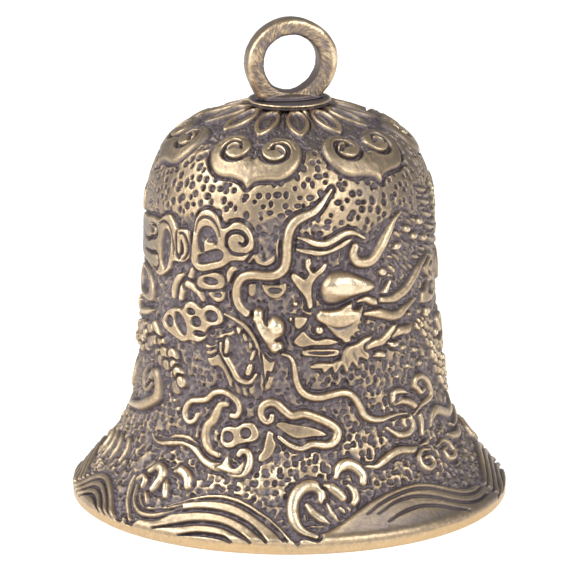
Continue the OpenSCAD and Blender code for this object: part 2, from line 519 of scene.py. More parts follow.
def petal(relief, az):
    relief.plate(moved([
        (0, 41.5), (5, 42.2), (8.8, 43.2), (11, 44.4), (10, 45.5), (5, 46), (0, 46.1), (-5, 46),
        (-10, 45.5), (-11, 44.4), (-8.8, 43.2), (-5, 42.2)], az), top=0.42, bevel=0.24, moat=0.14)
    relief.sink(moved([
        (0, 42.45), (4.4, 43.25), (7, 44.4), (5.6, 45.4), (0, 45.75), (-5.6, 45.4), (-7, 44.4),
        (-4.4, 43.25)], az), depth=0.32, soft=0.14, floor=0.05)
    relief.stroke(moved([(0.3, 45.5), (0.6, 44.6), (0, 43.4)], az), 0.1, top=0.22, taper=(1, 0.4), moat=0.0)


def ruyi_head(relief, az):
    """A hanging cloud-head: a lobed plate with two spirals cut into it."""
    right = [
        (3.3, 35.75), (7.9, 36), (13.7, 36.05), (18.4, 36.5), (23, 37.6), (25.2, 38.9), (24.6, 40.1),
        (21.6, 40.9), (16, 41.3), (10.3, 41.35), (5.2, 40.8), (2.2, 39.9)]
    left = [(-a, v) for a, v in reversed(right)]
    whole = [(0, 35.1)] + right + [(0, 38.5)] + left
    relief.plate(moved(whole, az), bevel=0.7, dome=0.08, moat=0.25)
    for side in (1, -1):
        relief.groove(moved([
            (8.7, 39.7), (11.2, 40.2), (15, 40.1), (17.2, 39.4), (16.4, 38.5), (12.6, 38), (8, 38),
            (4.2, 38.5), (2, 39.3), (1, 40.2)], az, flip=side), 0.5, 0.46, taper=(0.6, 1))
        relief.groove(moved([
            (7.2, 39.35), (9.5, 39.55), (12.5, 39.5), (14.6, 39.1)], az, flip=side), 0.5, 0.3,
            taper=(0.4, 1))
        relief.sink(moved([
            (6, 40.6), (12, 40.95), (17, 40.6), (20.5, 39.3), (18.5, 40.2), (14.5, 40.65),
            (9, 40.35)], az, flip=side), 0.14, 0.2, 0.2)


def wave_group(relief, az, peak, left, right, count, pitch, reach=0.8):
    """A mound of concentric wave lines, standing on the lip."""
    u = np.linspace(-1, 1, 17)

    def arc(drop, shrink):
        width = np.where(u < 0, left, right) * shrink
        height = max(peak - drop - LIP_EDGE, 0.15)
        return [(az + x * w, LIP_EDGE + height * math.cos(x * math.pi / 2) ** 1.25) for x, w in zip(u, width)]

    mound = [(a, s if s > LIP_EDGE + 0.01 else HIDDEN) for a, s in arc(0, 1)]
    relief.plate(mound, top=0.48, bevel=0.45, corners=True)
    for i in range(1, count + 1):
        shrink = reach * (1 - (i - 1) / (count + 1.5))
        relief.groove(arc(i * pitch, shrink), 0.34, 0.36, taper=(0.4, 0.4))


def crest_left(relief, az, flip=1):
    """A wave that breaks towards the left, with its spray; az is where it stands."""
    for points, width, top, taper in (
            ([(-6, 5.7), (-5.6, 4.8), (-3.6, 3.5), (-1.3, 2.5), (1.5, 1.5)], 0.6, 0.48, (0.8, 0.6)),
            ([(-3, 5), (-1.3, 3.8), (1.4, 2.9), (4.5, 2.5), (8.5, 2.6), (12, 3.1), (16, 3.9)], 0.6, 0.5,
             (0.7, 0.25)),
            ([(-0.8, 5), (0.5, 4.1), (2.8, 3.4), (6, 3.2), (9.5, 3.5)], 0.42, 0.42, (0.6, 0.4)),
            ([(-4, 5.5), (-2.4, 6), (-0.6, 5.7), (-0.3, 5)], 0.6, 0.6, (0.7, 0.8)),
            ([(-0.9, 6.7), (1.4, 7.3), (4, 7.1), (5, 6.3), (4.4, 5.5), (3.6, 4.9)], 1.08, 0.68,
             (0.6, 0.6)),
            ([(7.4, 6.3), (8.1, 5.7), (8.9, 5.1), (9.4, 4.7)], 0.66, 0.62, (0.5, 0.8)),
            ([(9.2, 7.35), (11.6, 7.5), (14.4, 7), (15.5, 6.2)], 1.1, 0.68, (0.5, 0.8)),
            ([(1.7, 4.6), (3.1, 4.2), (4.4, 3.6)], 0.5, 0.5, (0.8, 0.8))):
        relief.stroke(moved(points, az, flip=flip), width, top=top, taper=taper, moat=0.3)


def crest_right(relief, az):
    """A wave that curls over to the right, with its spray; az is its left edge."""
    for points, width, top, taper in (
            ([(9.6, 5.6), (9.6, 6.3), (8, 6.95), (5.2, 7), (2.8, 6.5), (1.3, 5.6), (0.9, 4.5), (1.6, 3.4),
              (3.6, 2.5), (7, 1.9)], 1.32, 0.68, (0.75, 0.5)),
            ([(11, 7), (12.8, 6.75), (14.8, 6.2), (15.9, 5.7)], 1.12, 0.64, (0.5, 0.9)),
            ([(18.6, 6.8), (19.9, 6.2), (19.9, 5.5), (18.9, 5)], 0.9, 0.62, (0.6, 0.8)),
            ([(5.2, 5.1), (6.6, 4.4), (8.6, 3.8), (10.9, 3.2)], 0.85, 0.5, (0.8, 0.4)),
            ([(11, 5.2), (12, 4.2), (13.5, 3.3)], 0.42, 0.5, (0.7, 0.5)),
            ([(14.6, 4.7), (15.6, 4.2)], 0.4, 0.45, (0.8, 0.8)),
            ([(15, 7.8), (16.6, 8.6), (19.4, 8.9), (22.4, 8.5), (24, 7.7), (23.5, 7)], 1.2, 0.64,
             (0.5, 0.7))):
        relief.stroke(moved(points, az), width, top=top, taper=taper, moat=0.35)


def cloud_scroll(relief, az, s, flip=1, grow=1.0):
    """A hooked cloud with a double knot and a long tail."""
    for points, width, top, taper in (
            ([(-36, 0), (-33, -0.45), (-29, -0.5), (-25, -0.2), (-20, 0.15), (-16, 0.05), (-12.5, -0.5),
              (-9.5, -1.15), (-6, -1.55), (-2, -1.6), (1, -1.9), (4, -2), (6.1, -1.5), (6.7, -0.7),
              (5.7, 0.05), (3.6, 0.15), (2.6, -0.2)], 0.85, 0.56, (0.4, 0.8)),
            ([(-3.5, 4.4), (-6, 4.2), (-7.5, 3.4), (-8.6, 2.7), (-10.6, 2.1), (-11, 1.2), (-10, 0.4),
              (-7.8, -0.2), (-5, -0.45)], 1.05, 0.52, (0.7, 0.7)),
            ([(-15.2, 3), (-16.3, 2.4), (-18.2, 2.15), (-20, 2.4), (-20.9, 3.05), (-20, 3.75),
              (-18, 4.2), (-14.5, 4.4), (-11.5, 4.65), (-8.8, 5.3), (-5, 5.55), (-1.5, 5.25), (0.9, 4.7),
              (1.6, 4), (0.6, 3.4), (-1.2, 3.4)], 0.66, 0.58, (0.8, 0.9))):
        relief.stroke(moved(points, az, s, flip, grow), width * grow, top=top, taper=taper)
    relief.plate(moved([
        (-5, 1.4), (-4.4, 2.1), (-2, 2.4), (1, 2.45), (3.5, 2.85), (7, 2.9), (9.1, 2.2), (9.3, 1.5),
        (7.5, 1.05), (5, 0.9), (2, 0.65), (0, 0.3), (-2.5, 0.25), (-4.6, 0.7)], az, s, flip, grow),
        bevel=0.28, moat=0.25)
    for a, v, across in ((-2, 1.35, 1.05), (4.4, 1.85, 0.98)):
        relief.pit(az + flip * grow * a, s + grow * v, across * grow, 0.95 * grow)


def spiral(relief, az, s, flip=1):
    """A curled end of cloud with a tail."""
    relief.stroke(moved([
        (-1.5, 0.6), (-4, 0.5), (-6, 1), (-8, 1.5), (-6.3, 2), (-2.5, 1.95), (1, 1.3), (3, 0.4),
        (2.2, -0.3), (-1.5, -0.6), (-5, -0.8), (-10, -1.4)], az, s, flip), 0.75, top=0.56,
        taper=(0.7, 0.4), moat=0.3)


def walk(points):
    """Length in mm of a smooth path, and a function that gives the place and the heading along it."""
    path = curve(points, steps=12)
    along = lengths_along(path, np.interp(path[1:, 1], S, MM_PER_DEG))

    def point(at):
        return np.interp(at, along, path[:, 0]), np.interp(at, along, path[:, 1])

    def place(at, forward=0.0, out=0.0):
        az, s = point(at)
        next_az, next_s = point(at + 0.2)
        k = mm_per_degree(s)
        heading = math.atan2(next_s - s, (next_az - az) * k)
        x = forward * math.cos(heading) - out * math.sin(heading)
        y = forward * math.sin(heading) + out * math.cos(heading)
        return az + x / k, s + y, math.degrees(heading)

    return along[-1], place


def scales_along(relief, points, width, size, top, seed, missing=0.0, stray=0.0):
    """A band of overlapping scales that follows a path, like the flank of a long body."""
    draw = np.random.default_rng(seed)
    length, place = walk(points)
    step = 0.56 * size
    lanes = max(1, int(round(width / (size * 0.85))))
    relief.stroke(points, width + 0.2, top=0.16, flat=5.0, moat=0.35)
    for i in range(int(length / step)):
        at = (i + 0.5) * step
        narrower = min(1.0, 0.55 + 1.4 * at / length, 0.55 + 1.4 * (1 - at / length))
        for lane in range(lanes):
            if draw.random() < missing:
                continue
            here = at + draw.uniform(-0.12, 0.12) * size
            out = (lane + 0.5 * (i % 2) - (lanes - 0.5) / 2) * width / lanes * narrower
            if stray:
                out += draw.uniform(-stray, stray)
            az, s, heading = place(here, out=out)
            grown = size * draw.uniform(0.85, 1.12)
            scale = oval(az, s, 0.95 * grown, 0.74 * grown, heading, 9)
            relief.plate(scale, top=top * draw.uniform(0.75, 1.15), bevel=0.34, moat=0.16)


def back_spines(relief, points):
    """A row of flame-shaped spines along the upper side of a path."""
    gap, height = 1.5, 1.7
    length, place = walk(points)
    for i in range(int(length / gap)):
        at = (i + 0.4) * gap
        bend = ((0, 0), (-0.25, 0.55), (-0.85, 1))
        spine = [place(at, forward * height, out * height)[:2] for forward, out in bend]
        relief.stroke(spine, 0.6, taper=(1, 0.25), moat=0.2)


def claw(relief, az, s, flip=1, turn=1):
    """A leg that ends in four spread toes; turn is 1 when the toes point down."""
    leg = [(0, 0), (3, -1.2 * turn), (4, -2.8 * turn), (2, -4.2 * turn)]
    relief.stroke(moved(leg, az, s, flip), 1.5, top=0.62, taper=(0.9, 0.7))
    for reach, drop, bend in ((-6.5, -4.4, 1), (-2.4, -6.2, 0.7), (2.6, -6.6, -0.4), (7, -5.2, -1.2)):
        knuckle = ((2 + reach) / 2 + bend, (drop * 0.9 + 0.6) * turn * 0.8)
        toe = [(2, -4.0 * turn), knuckle, (reach, drop * turn)]
        relief.stroke(moved(toe, az, s, flip), 0.7, top=0.64, taper=(0.9, 0.25), moat=0.25)


# ---------------------------------------------------------------- the front, from the lip upwards

def front_waves(relief):
    wave_group(relief, -67, 4.6, 18, 17, 3, 0.85)
    wave_group(relief, 90, 5.7, 30, 26, 4, 0.95, reach=0.95)
    # right: a broad smooth field with three fine lines
    relief.plate([
        (0.5, HIDDEN), (1.5, 1.2), (2.6, 1.7), (5, 2.1), (8.5, 2.3), (12, 2.8), (18, 4.05), (23.6, 5.05),
        (30, 5.7), (36.3, 6), (42, 6.05), (47, 5.6), (52, 4.85), (57, 4.1), (61, 3.7), (65, 3.7),
        (70, 3), (74, HIDDEN)], top=0.46, bevel=0.5, corners=True)
    for line in (
            [(22, 3.75), (26.8, 4.6), (33, 5.2), (39.5, 5.4), (45.8, 5), (52, 4.05), (57, 3.3),
             (62, 2.95), (68, 3)],
            [(25.2, 3.65), (31.5, 4.5), (37.9, 4.7), (44.2, 4.25), (50.5, 3.3), (56, 2.5), (62, 2.1),
             (68, 2.2)],
            [(27.6, 2.75), (33, 3.4), (39.5, 3.6), (45.8, 3.1), (50.5, 2.4), (55, 1.7)]):
        relief.groove(line, 0.34, 0.26, taper=(0.3, 0.7))
    # left: ridges that sweep from the crest over the top and down again
    relief.plate([
        (-46, HIDDEN), (-45, 1.2), (-44, 1.7), (-42, 2.5), (-39, 3.4), (-35, 4.25), (-30, 5.1), (-25, 5.7),
        (-20, 5.95), (-15, 5.7), (-10, 4.95), (-5.5, 3.9), (-2, 2.8), (0.5, 1.8), (1.8, 1.3),
        (2.5, HIDDEN)], top=0.52, bevel=0.45, corners=True)
    for line in (
            [(-36, 3.75), (-29.5, 4.75), (-22, 5.25), (-15.5, 5), (-10, 4.15), (-5.2, 2.9), (-1.5, 1.5)],
            [(-39.5, 2.3), (-33, 3.35), (-25, 4), (-18, 3.9), (-12, 3.15), (-8, 2.1), (-6, 1.3)],
            [(-38, 1.35), (-31, 2.15), (-25, 2.7), (-18.5, 2.7), (-13.5, 2), (-10, 1.2)],
            [(-30, 1.2), (-24, 1.6), (-18, 1.55), (-15, 1.15)],
            [(-8, 4), (-3.8, 2.7), (-0.5, 1.4)]):
        relief.groove(line, 0.5, 0.42, taper=(0.3, 0.4))
    crest_left(relief, -48)
    crest_right(relief, 0)


def lower_clouds(relief):
    # left: the hooked cloud with its knot, and the flame-shaped points on its tail
    cloud_scroll(relief, -20, 10.1)
    relief.stroke([
        (-48, 10.15), (-43, 10.65), (-38, 10.75), (-33.5, 10.35)], 0.45, top=0.42, taper=(0.3, 0.5),
        moat=0.2)
    relief.plate([
        (-25, 8.4), (-23, 8.9), (-21.3, 9.9), (-20.2, 9.1), (-18.5, 8.6), (-16.8, 8.9), (-15.4, 9.5),
        (-15, 8.7), (-16, 8), (-20, 8)], top=0.52, bevel=0.3, moat=0.0)
    relief.plate([
        (-7.6, 12.35), (-5.2, 12), (-4.5, 11), (-5.6, 10.1), (-7.6, 9.5), (-10.4, 9.3), (-10.8, 9.9),
        (-9.4, 10.5), (-8.8, 11.4)], top=0.42, bevel=0.3, moat=0.3)
    # right: the closed loop round a low plate
    relief.plate([
        (-5.4, 12.9), (-2.5, 13.2), (2.3, 12.95), (6.6, 12.75), (11, 12.35), (13.6, 11.75), (7.8, 11.65),
        (2.3, 11.55), (-1.7, 12.1)], top=0.36, bevel=0.25)
    relief.stroke([
        (-6.3, 13.7), (-6.7, 13.25), (-8.5, 13.15), (-10.2, 13.7), (-10, 14.5), (-7.5, 14.95),
        (-4.6, 14.85), (-1.7, 14.2), (1, 13.75), (5.4, 13.9), (10.2, 13.45), (14.9, 12.8), (17.3, 12.1),
        (16.1, 11.2), (13, 10.85), (8, 11), (3.9, 10.65), (0, 11), (-3.6, 11.7)], 0.9, top=0.58,
        taper=(0.7, 0.6))
    # far right: strand, eye-shaped swirl and curls
    relief.stroke([
        (26, 8.5), (29.5, 8.35), (33, 8.75), (37, 9.2), (41, 9.35), (45, 9.15), (50, 9), (55, 9.4)], 0.82,
        top=0.55, taper=(0.5, 0.6))
    relief.stroke([
        (37, 11.75), (39.5, 11.2), (42.5, 10.75), (46.5, 10.75), (49.2, 11.3), (49, 12.1), (46.5, 12.35),
        (45, 12), (45.6, 11.5)], 0.72, top=0.54, taper=(0.5, 0.7), moat=0.3)
    relief.stroke([(41.2, 14), (41.6, 14.8), (45, 14.9), (50, 14.4)], 0.6, top=0.52, taper=(0.9, 0.4))
    relief.stroke([
        (42, 13.7), (47, 13.8), (52, 13.2), (54.3, 12.3), (54.6, 11.3), (53.6, 10.3)], 0.8, top=0.48,
        taper=(0.4, 0.8))
    spiral(relief, 61, 13.6)
    for az, flip in ((50.4, 1), (64, -1)):
        relief.stroke(moved([
            (0.2, 8), (2.6, 7.9), (2.6, 7.2), (-0.4, 6.9), (-2.8, 7.4), (-2.6, 8.3), (0.2, 8.8),
            (4.1, 8.6)], az, flip=flip), 0.62, top=0.54, taper=(0.7, 0.5), moat=0.3)
    relief.stroke([
        (60, 10.6), (63, 11.4), (67, 11.7), (72, 11.2), (78, 10.6), (86, 10.6), (92, 11.4)], 1.1,
        taper=(0.4, 0.6))
    relief.stroke([(70, 9), (74, 8.5), (79, 8.3), (84, 8.6)], 0.8, taper=(0.5, 0.5))
    # far left: fingers and a thick hooked cloud
    for az in (-67.2, -74, -80.4, -87):
        relief.stroke(moved([
            (-2.5, 8.6), (-0.4, 8.3), (1.4, 7.4), (1.2, 6.3)], az, s=-0.15 * (-67.2 - az) / 3), 0.8,
            top=0.56, taper=(0.6, 0.7), moat=0.25)
    relief.stroke([
        (-66, 14.3), (-63.4, 14.9), (-61.5, 15.6), (-58.8, 15.8), (-56.9, 15), (-56.4, 14),
        (-58.6, 13.3), (-63, 12.7), (-68, 12.1), (-74, 11.7), (-82, 11.3)], 1.3, top=0.66, taper=(0.6, 0.6))
    relief.stroke([
        (-62.5, 14.6), (-65, 13.9), (-68.5, 14.1), (-69.5, 15.2), (-66.5, 16.2)], 0.66, taper=(0.8, 0.5),
        moat=0.2)


def left_body(relief):
    """The flank of the long body that crosses the left side, between the clouds."""
    scales_along(relief, [
        (-92, 17.6), (-84, 18.2), (-76, 18.6), (-68, 18.8), (-61, 18.6), (-55, 17.9), (-50, 17),
        (-46, 15.9), (-42.4, 14.6)], 2.7, size=1.65, top=0.54, seed=4, missing=0.1, stray=0.25)
    relief.stroke([
        (-90, 20.6), (-80, 20.9), (-75, 21), (-69, 21.4), (-65, 21.7)], 0.75, top=0.6, taper=(0.6, 0.3))
    relief.plate([
        (-64, 20.7), (-61.5, 21), (-58, 20.3), (-56.6, 19.6), (-60, 19.6), (-62.8, 20.1)], top=0.62,
        bevel=0.4, moat=0.2)
    for az, s, across in ((-44.5, 13.2, 0.7), (-41.8, 13, 0.5), (-46.8, 13.9, 0.6)):
        relief.plate(oval(az, s, across, across * 0.8, 30), top=0.46, bevel=0.3, moat=0.15)


def upper_left_clouds(relief):
    # round hollow cloud and a smooth plate with sunken folds at the far left
    relief.plate([
        (-84, 25.4), (-76, 25.6), (-69, 24.9), (-65, 23.8), (-65.6, 22.6), (-70, 22.2), (-78, 22.2),
        (-86, 22.6), (-90, 24)], bevel=0.4)
    relief.sink([
        (-84, 24.8), (-76, 24.9), (-70.5, 24.2), (-70.4, 23.3), (-75, 22.9), (-84, 23), (-87, 24)], 0.42,
        0.25)
    relief.plate([
        (-86, 26.4), (-74, 25.9), (-66, 25.5), (-60, 25.3), (-54, 26.2), (-51.5, 27.1), (-46.5, 27.3),
        (-42.3, 28), (-41.6, 29.6), (-42.6, 30.6), (-46, 30.7), (-49, 30.6), (-50.8, 31.1), (-54, 31.7),
        (-58, 31.5), (-62, 30.9), (-68, 30.9), (-74, 30.6), (-86, 30.2), (-90, 28)], bevel=0.32)
    relief.sink([
        (-56.6, 26.3), (-54.3, 27.5), (-53.3, 29.2), (-55, 30), (-58, 29.8), (-59.6, 28.6), (-59.3, 27)],
        0.42, 0.2)
    for line, width, depth in (
            ([(-62, 30.4), (-58.5, 30.8), (-54.5, 30.6), (-52.3, 29.7), (-51.2, 28.4), (-51, 27.8)], 0.24,
              0.3),
            ([(-46.6, 29.3), (-46.9, 28.3), (-48.3, 27.75), (-49.6, 28.4), (-49.8, 29.8), (-49.2, 30.3)],
              0.4, 0.4),
            ([(-46.6, 29.4), (-45.8, 28.3)], 0.5, 0.35),
            ([(-47.8, 30.15), (-45.3, 30.15), (-43.4, 29.5), (-43.1, 28.6), (-44.5, 27.9), (-46.5, 27.55)],
              0.3, 0.35),
            ([(-78, 28.4), (-73, 28.3), (-69, 28.7), (-65.5, 28.9), (-63.4, 29.4), (-65, 30),
              (-69.5, 30)], 0.42, 0.4),
            ([(-78, 27.2), (-70, 27.2), (-64, 27.4), (-61.6, 26.6), (-63.5, 25.9), (-68, 26)], 0.36,
              0.36),
            ([(-72, 29.6), (-69, 29.4), (-66.5, 29.5)], 0.5, 0.3)):
        relief.groove(line, width, depth, taper=(0.5, 0.5))
    # the tall double-lined cloud with its spiral
    relief.plate([
        (-41.4, 28.6), (-40.6, 30.4), (-39.7, 31.8), (-37, 32.75), (-33, 33), (-29.4, 32.5), (-27, 31.5),
        (-24.8, 31.6), (-22, 32.1), (-18.5, 32.1), (-15.3, 31.5), (-13.5, 30.5), (-13.8, 29.6),
        (-15.8, 29.1), (-12.5, 28.9), (-13.2, 28.4), (-18, 28.3), (-22.5, 28.2), (-26, 27.6), (-31, 27.1),
        (-36, 26.8), (-39.7, 27.1), (-41.5, 27.8)], top=0.54, bevel=0.32)
    for line, width, depth in (
            ([(-39.2, 30.6), (-38.3, 31.6), (-35.5, 32.15), (-31.5, 32.05), (-28.8, 31.3), (-27.6, 30.5)],
              0.24, 0.25),
            ([(-24.8, 29.7), (-24.6, 30.6), (-22.3, 31.1), (-18.8, 31.1), (-16.6, 30.5), (-17.6, 29.95),
              (-19.4, 30.1)], 0.42, 0.42),
            ([(-24.9, 29.9), (-23, 29.2), (-20, 29), (-16.5, 29.1)], 0.34, 0.3)):
        relief.groove(line, width, depth, taper=(0.8, 0.5))
    relief.sink([
        (-37.7, 29.2), (-37.8, 30.4), (-35.3, 31.2), (-31.3, 31.2), (-29, 30.3), (-29.4, 29.7), (-31, 30.1),
        (-33.4, 30.3), (-35, 29.7), (-34.8, 29), (-36, 28.7)], 0.42, 0.14)
    relief.pit(-32, 30.1, 0.8, 0.5, 0.3)
    relief.sink([
        (-37.7, 28.3), (-35, 28.7), (-32, 29), (-28.5, 29.25), (-26.4, 28.9), (-27.6, 28.3), (-31, 28),
        (-35, 27.7), (-37.4, 27.7)], 0.42, 0.16)
    # branching stalks below it
    for points, width, taper in (
            ([(-50.8, 23.9), (-50.3, 24.8), (-48.6, 25.7), (-45.8, 26.2)], 0.85, (0.8, 0.5)),
            ([(-41, 26.8), (-42.2, 25.9), (-43.5, 25.3), (-45.6, 24.8), (-46.6, 23.9)], 0.9, (0.8, 0.8)),
            ([(-43.2, 25.4), (-40, 25.2), (-37, 24.8), (-35.4, 24.2)], 0.85, (1, 0.7)),
            ([(-24, 26.4), (-23.6, 27.1), (-22.2, 27.5), (-20.4, 27.4)], 0.75, (0.8, 0.4))):
        relief.stroke(points, width, top=0.52, taper=taper, moat=0.25)
    # small pitted clouds
    relief.plate([
        (-33.6, 25.1), (-31.5, 24.4), (-28.5, 24.1), (-26, 24.4), (-25.3, 25.1), (-27.5, 25.5),
        (-31, 25.5)], top=0.42, bevel=0.25, moat=0.2)
    relief.plate([
        (-38.5, 26), (-37, 26.5), (-33.5, 26.8), (-30, 27.05), (-26.8, 26.85), (-25.3, 26.2), (-26.6, 25.5),
        (-31, 25.25), (-35.5, 25.15), (-38, 25.4)], top=0.46, bevel=0.25, moat=0.2)
    relief.pit(-32, 26.1, 1.6, 0.62)
    relief.pit(-28.6, 24.85, 0.8, 0.45, 0.25)
    relief.plate([
        (-57, 21.3), (-55, 22.1), (-52, 22.7), (-48, 22.95), (-45, 23), (-43.4, 23.6), (-41, 23.9),
        (-38, 23.75), (-35.6, 23.45), (-33, 23.85), (-29.5, 23.85), (-26.7, 23.3), (-25.7, 22.4),
        (-28, 21.9), (-31, 21.7), (-33, 21.1), (-33.2, 20.5), (-36, 20), (-40, 20), (-44, 19.7),
        (-48, 19.9), (-52, 20.2), (-55.8, 20.6)], top=0.52, bevel=0.28)
    for az, s, across, up, depth in (
            (-52, 21.4, 1.1, 1, 0.42), (-40.5, 22.85, 1, 0.55, 0.4), (-37.8, 22, 1.15, 0.9, 0.4),
            (-31, 22.75, 1.35, 1, 0.42), (-36, 20.9, 1.3, 0.45, 0.4)):
        relief.pit(az, s, across, up, depth)
    relief.sink([
        (-49, 22.3), (-46.5, 22.4), (-43.5, 21.8), (-42.2, 20.9), (-43.5, 20.5), (-46.3, 20.9),
        (-48.8, 21.6)], 0.42, 0.14)


def open_jaw(relief):
    relief.plate([
        (-29, 19.5), (-24, 21.5), (-18, 22), (-13, 21), (-11, 18.8), (-12, 16.9), (-16, 16.4), (-21, 16.9),
        (-25, 18.3)], top=0.08, bevel=0.3, moat=0.1)
    relief.plate([
        (-32.4, 18.7), (-29.6, 19.1), (-26.6, 19.3), (-23, 18.6), (-20, 17.4), (-16.6, 17),
        (-13.6, 16.9), (-14.6, 16.05), (-17.6, 15.9), (-20.5, 16), (-22.6, 16.2), (-24, 17),
        (-25.6, 17.7), (-27.6, 18), (-30.2, 17.9)], top=0.46, bevel=0.3, moat=0.2)
    for az, s, lean, long in (
            (-19.6, 16, 0.9, 0.8), (-16.8, 15.9, 0.7, 0.9), (-14.2, 16.1, 0.4, 0.9),
            (-9.4, 17, -0.5, 1.5), (-7, 16.7, -1.3, 1)):
        relief.stroke([
            (az, s + 0.5), (az + lean * 0.5, s), (az + lean * 1.4, s + 0.3 - long)], 0.66, top=0.42,
            taper=(1, 0.3), moat=0.1)
    for points, width, top, taper in (
            ([(-33.8, 20), (-31, 19.7), (-28.6, 19.8)], 0.42, 0.42, (0.4, 0.9)),
            ([(-33.4, 19.3), (-31, 19.2), (-28.8, 19.5)], 0.42, 0.42, (0.4, 0.9)),
            ([(-26.6, 20.3), (-26, 19.6), (-23.8, 18.9), (-21.4, 18), (-19.6, 17.2), (-17.2, 16.85),
              (-14.4, 16.85), (-12.4, 17.6)], 0.62, 0.6, (0.6, 0.6)),
            ([(-29.2, 20.7), (-26, 21), (-22.5, 21.3), (-19.6, 21.9)], 0.36, 0.42, (0.5, 0.9)),
            ([(-25.4, 23.1), (-21, 22.7), (-17, 22.1), (-13.6, 21.1), (-11.8, 20), (-10.4, 18.7)], 0.42,
              0.46, (0.7, 0.6)),
            ([(-24.2, 20.8), (-23.9, 20.2), (-24.3, 19.5)], 0.5, 0.54, (0.6, 0.9)),
            ([(-19.8, 21.9), (-18.9, 21.4)], 0.44, 0.5, (0.9, 0.9)),
            ([(-17.4, 21.3), (-16.5, 20.8)], 0.4, 0.46, (0.9, 0.9)),
            ([(-14.8, 20.5), (-14.5, 20.1)], 0.4, 0.46, (0.9, 0.9)),
            ([(-13.2, 19.8), (-14.4, 19)], 0.42, 0.5, (0.8, 0.9)),
            ([(-14.6, 18.4), (-15.4, 17.7)], 0.7, 0.56, (0.8, 1))):
        relief.stroke(points, width, top=top, taper=taper, moat=0.2)
    relief.plate([
        (-10.3, 19.7), (-8.8, 19.3), (-7.3, 18.95), (-5.2, 19), (-5.6, 18.3), (-6.6, 17.8), (-8.1, 17.9),
        (-8.8, 17.1), (-9.7, 17.8), (-10.1, 18.7)], top=0.48, bevel=0.28, moat=0.2)


def snout(relief):
    relief.plate([
        (-14.8, 23.2), (-14.2, 23.9), (-12, 24.2), (-9.8, 23.9), (-8.6, 23.1), (-6.6, 23.4), (-4, 23.4),
        (-1.8, 22.7), (-1.6, 21.6), (-2.6, 20.9), (-2.1, 20.2), (-3.8, 19.6), (-6.8, 19.6), (-9.4, 20.5),
        (-11.2, 21.5), (-13.2, 22.3)], top=0.6, bevel=0.6, moat=0.35)
    for az, s, across, up, turn, top in (
            (-12, 23.3, 2, 1.7, 20, 0.92), (-4.6, 22.2, 2.1, 2.2, 0, 1.05),
            (-4.2, 20.35, 1.8, 1.4, 30, 0.92), (-8.4, 21.7, 3.8, 2, -50, 0.92)):
        relief.swell(az, s, across, up, top, turn)
    relief.groove([(-1.6, 21.25), (-3.6, 21.1), (-5.4, 21)], 0.3, 0.4, taper=(1, 0.3))
    relief.groove([(-9.4, 23.6), (-9, 22.8), (-8, 22.4)], 0.28, 0.3, taper=(1, 0.3))


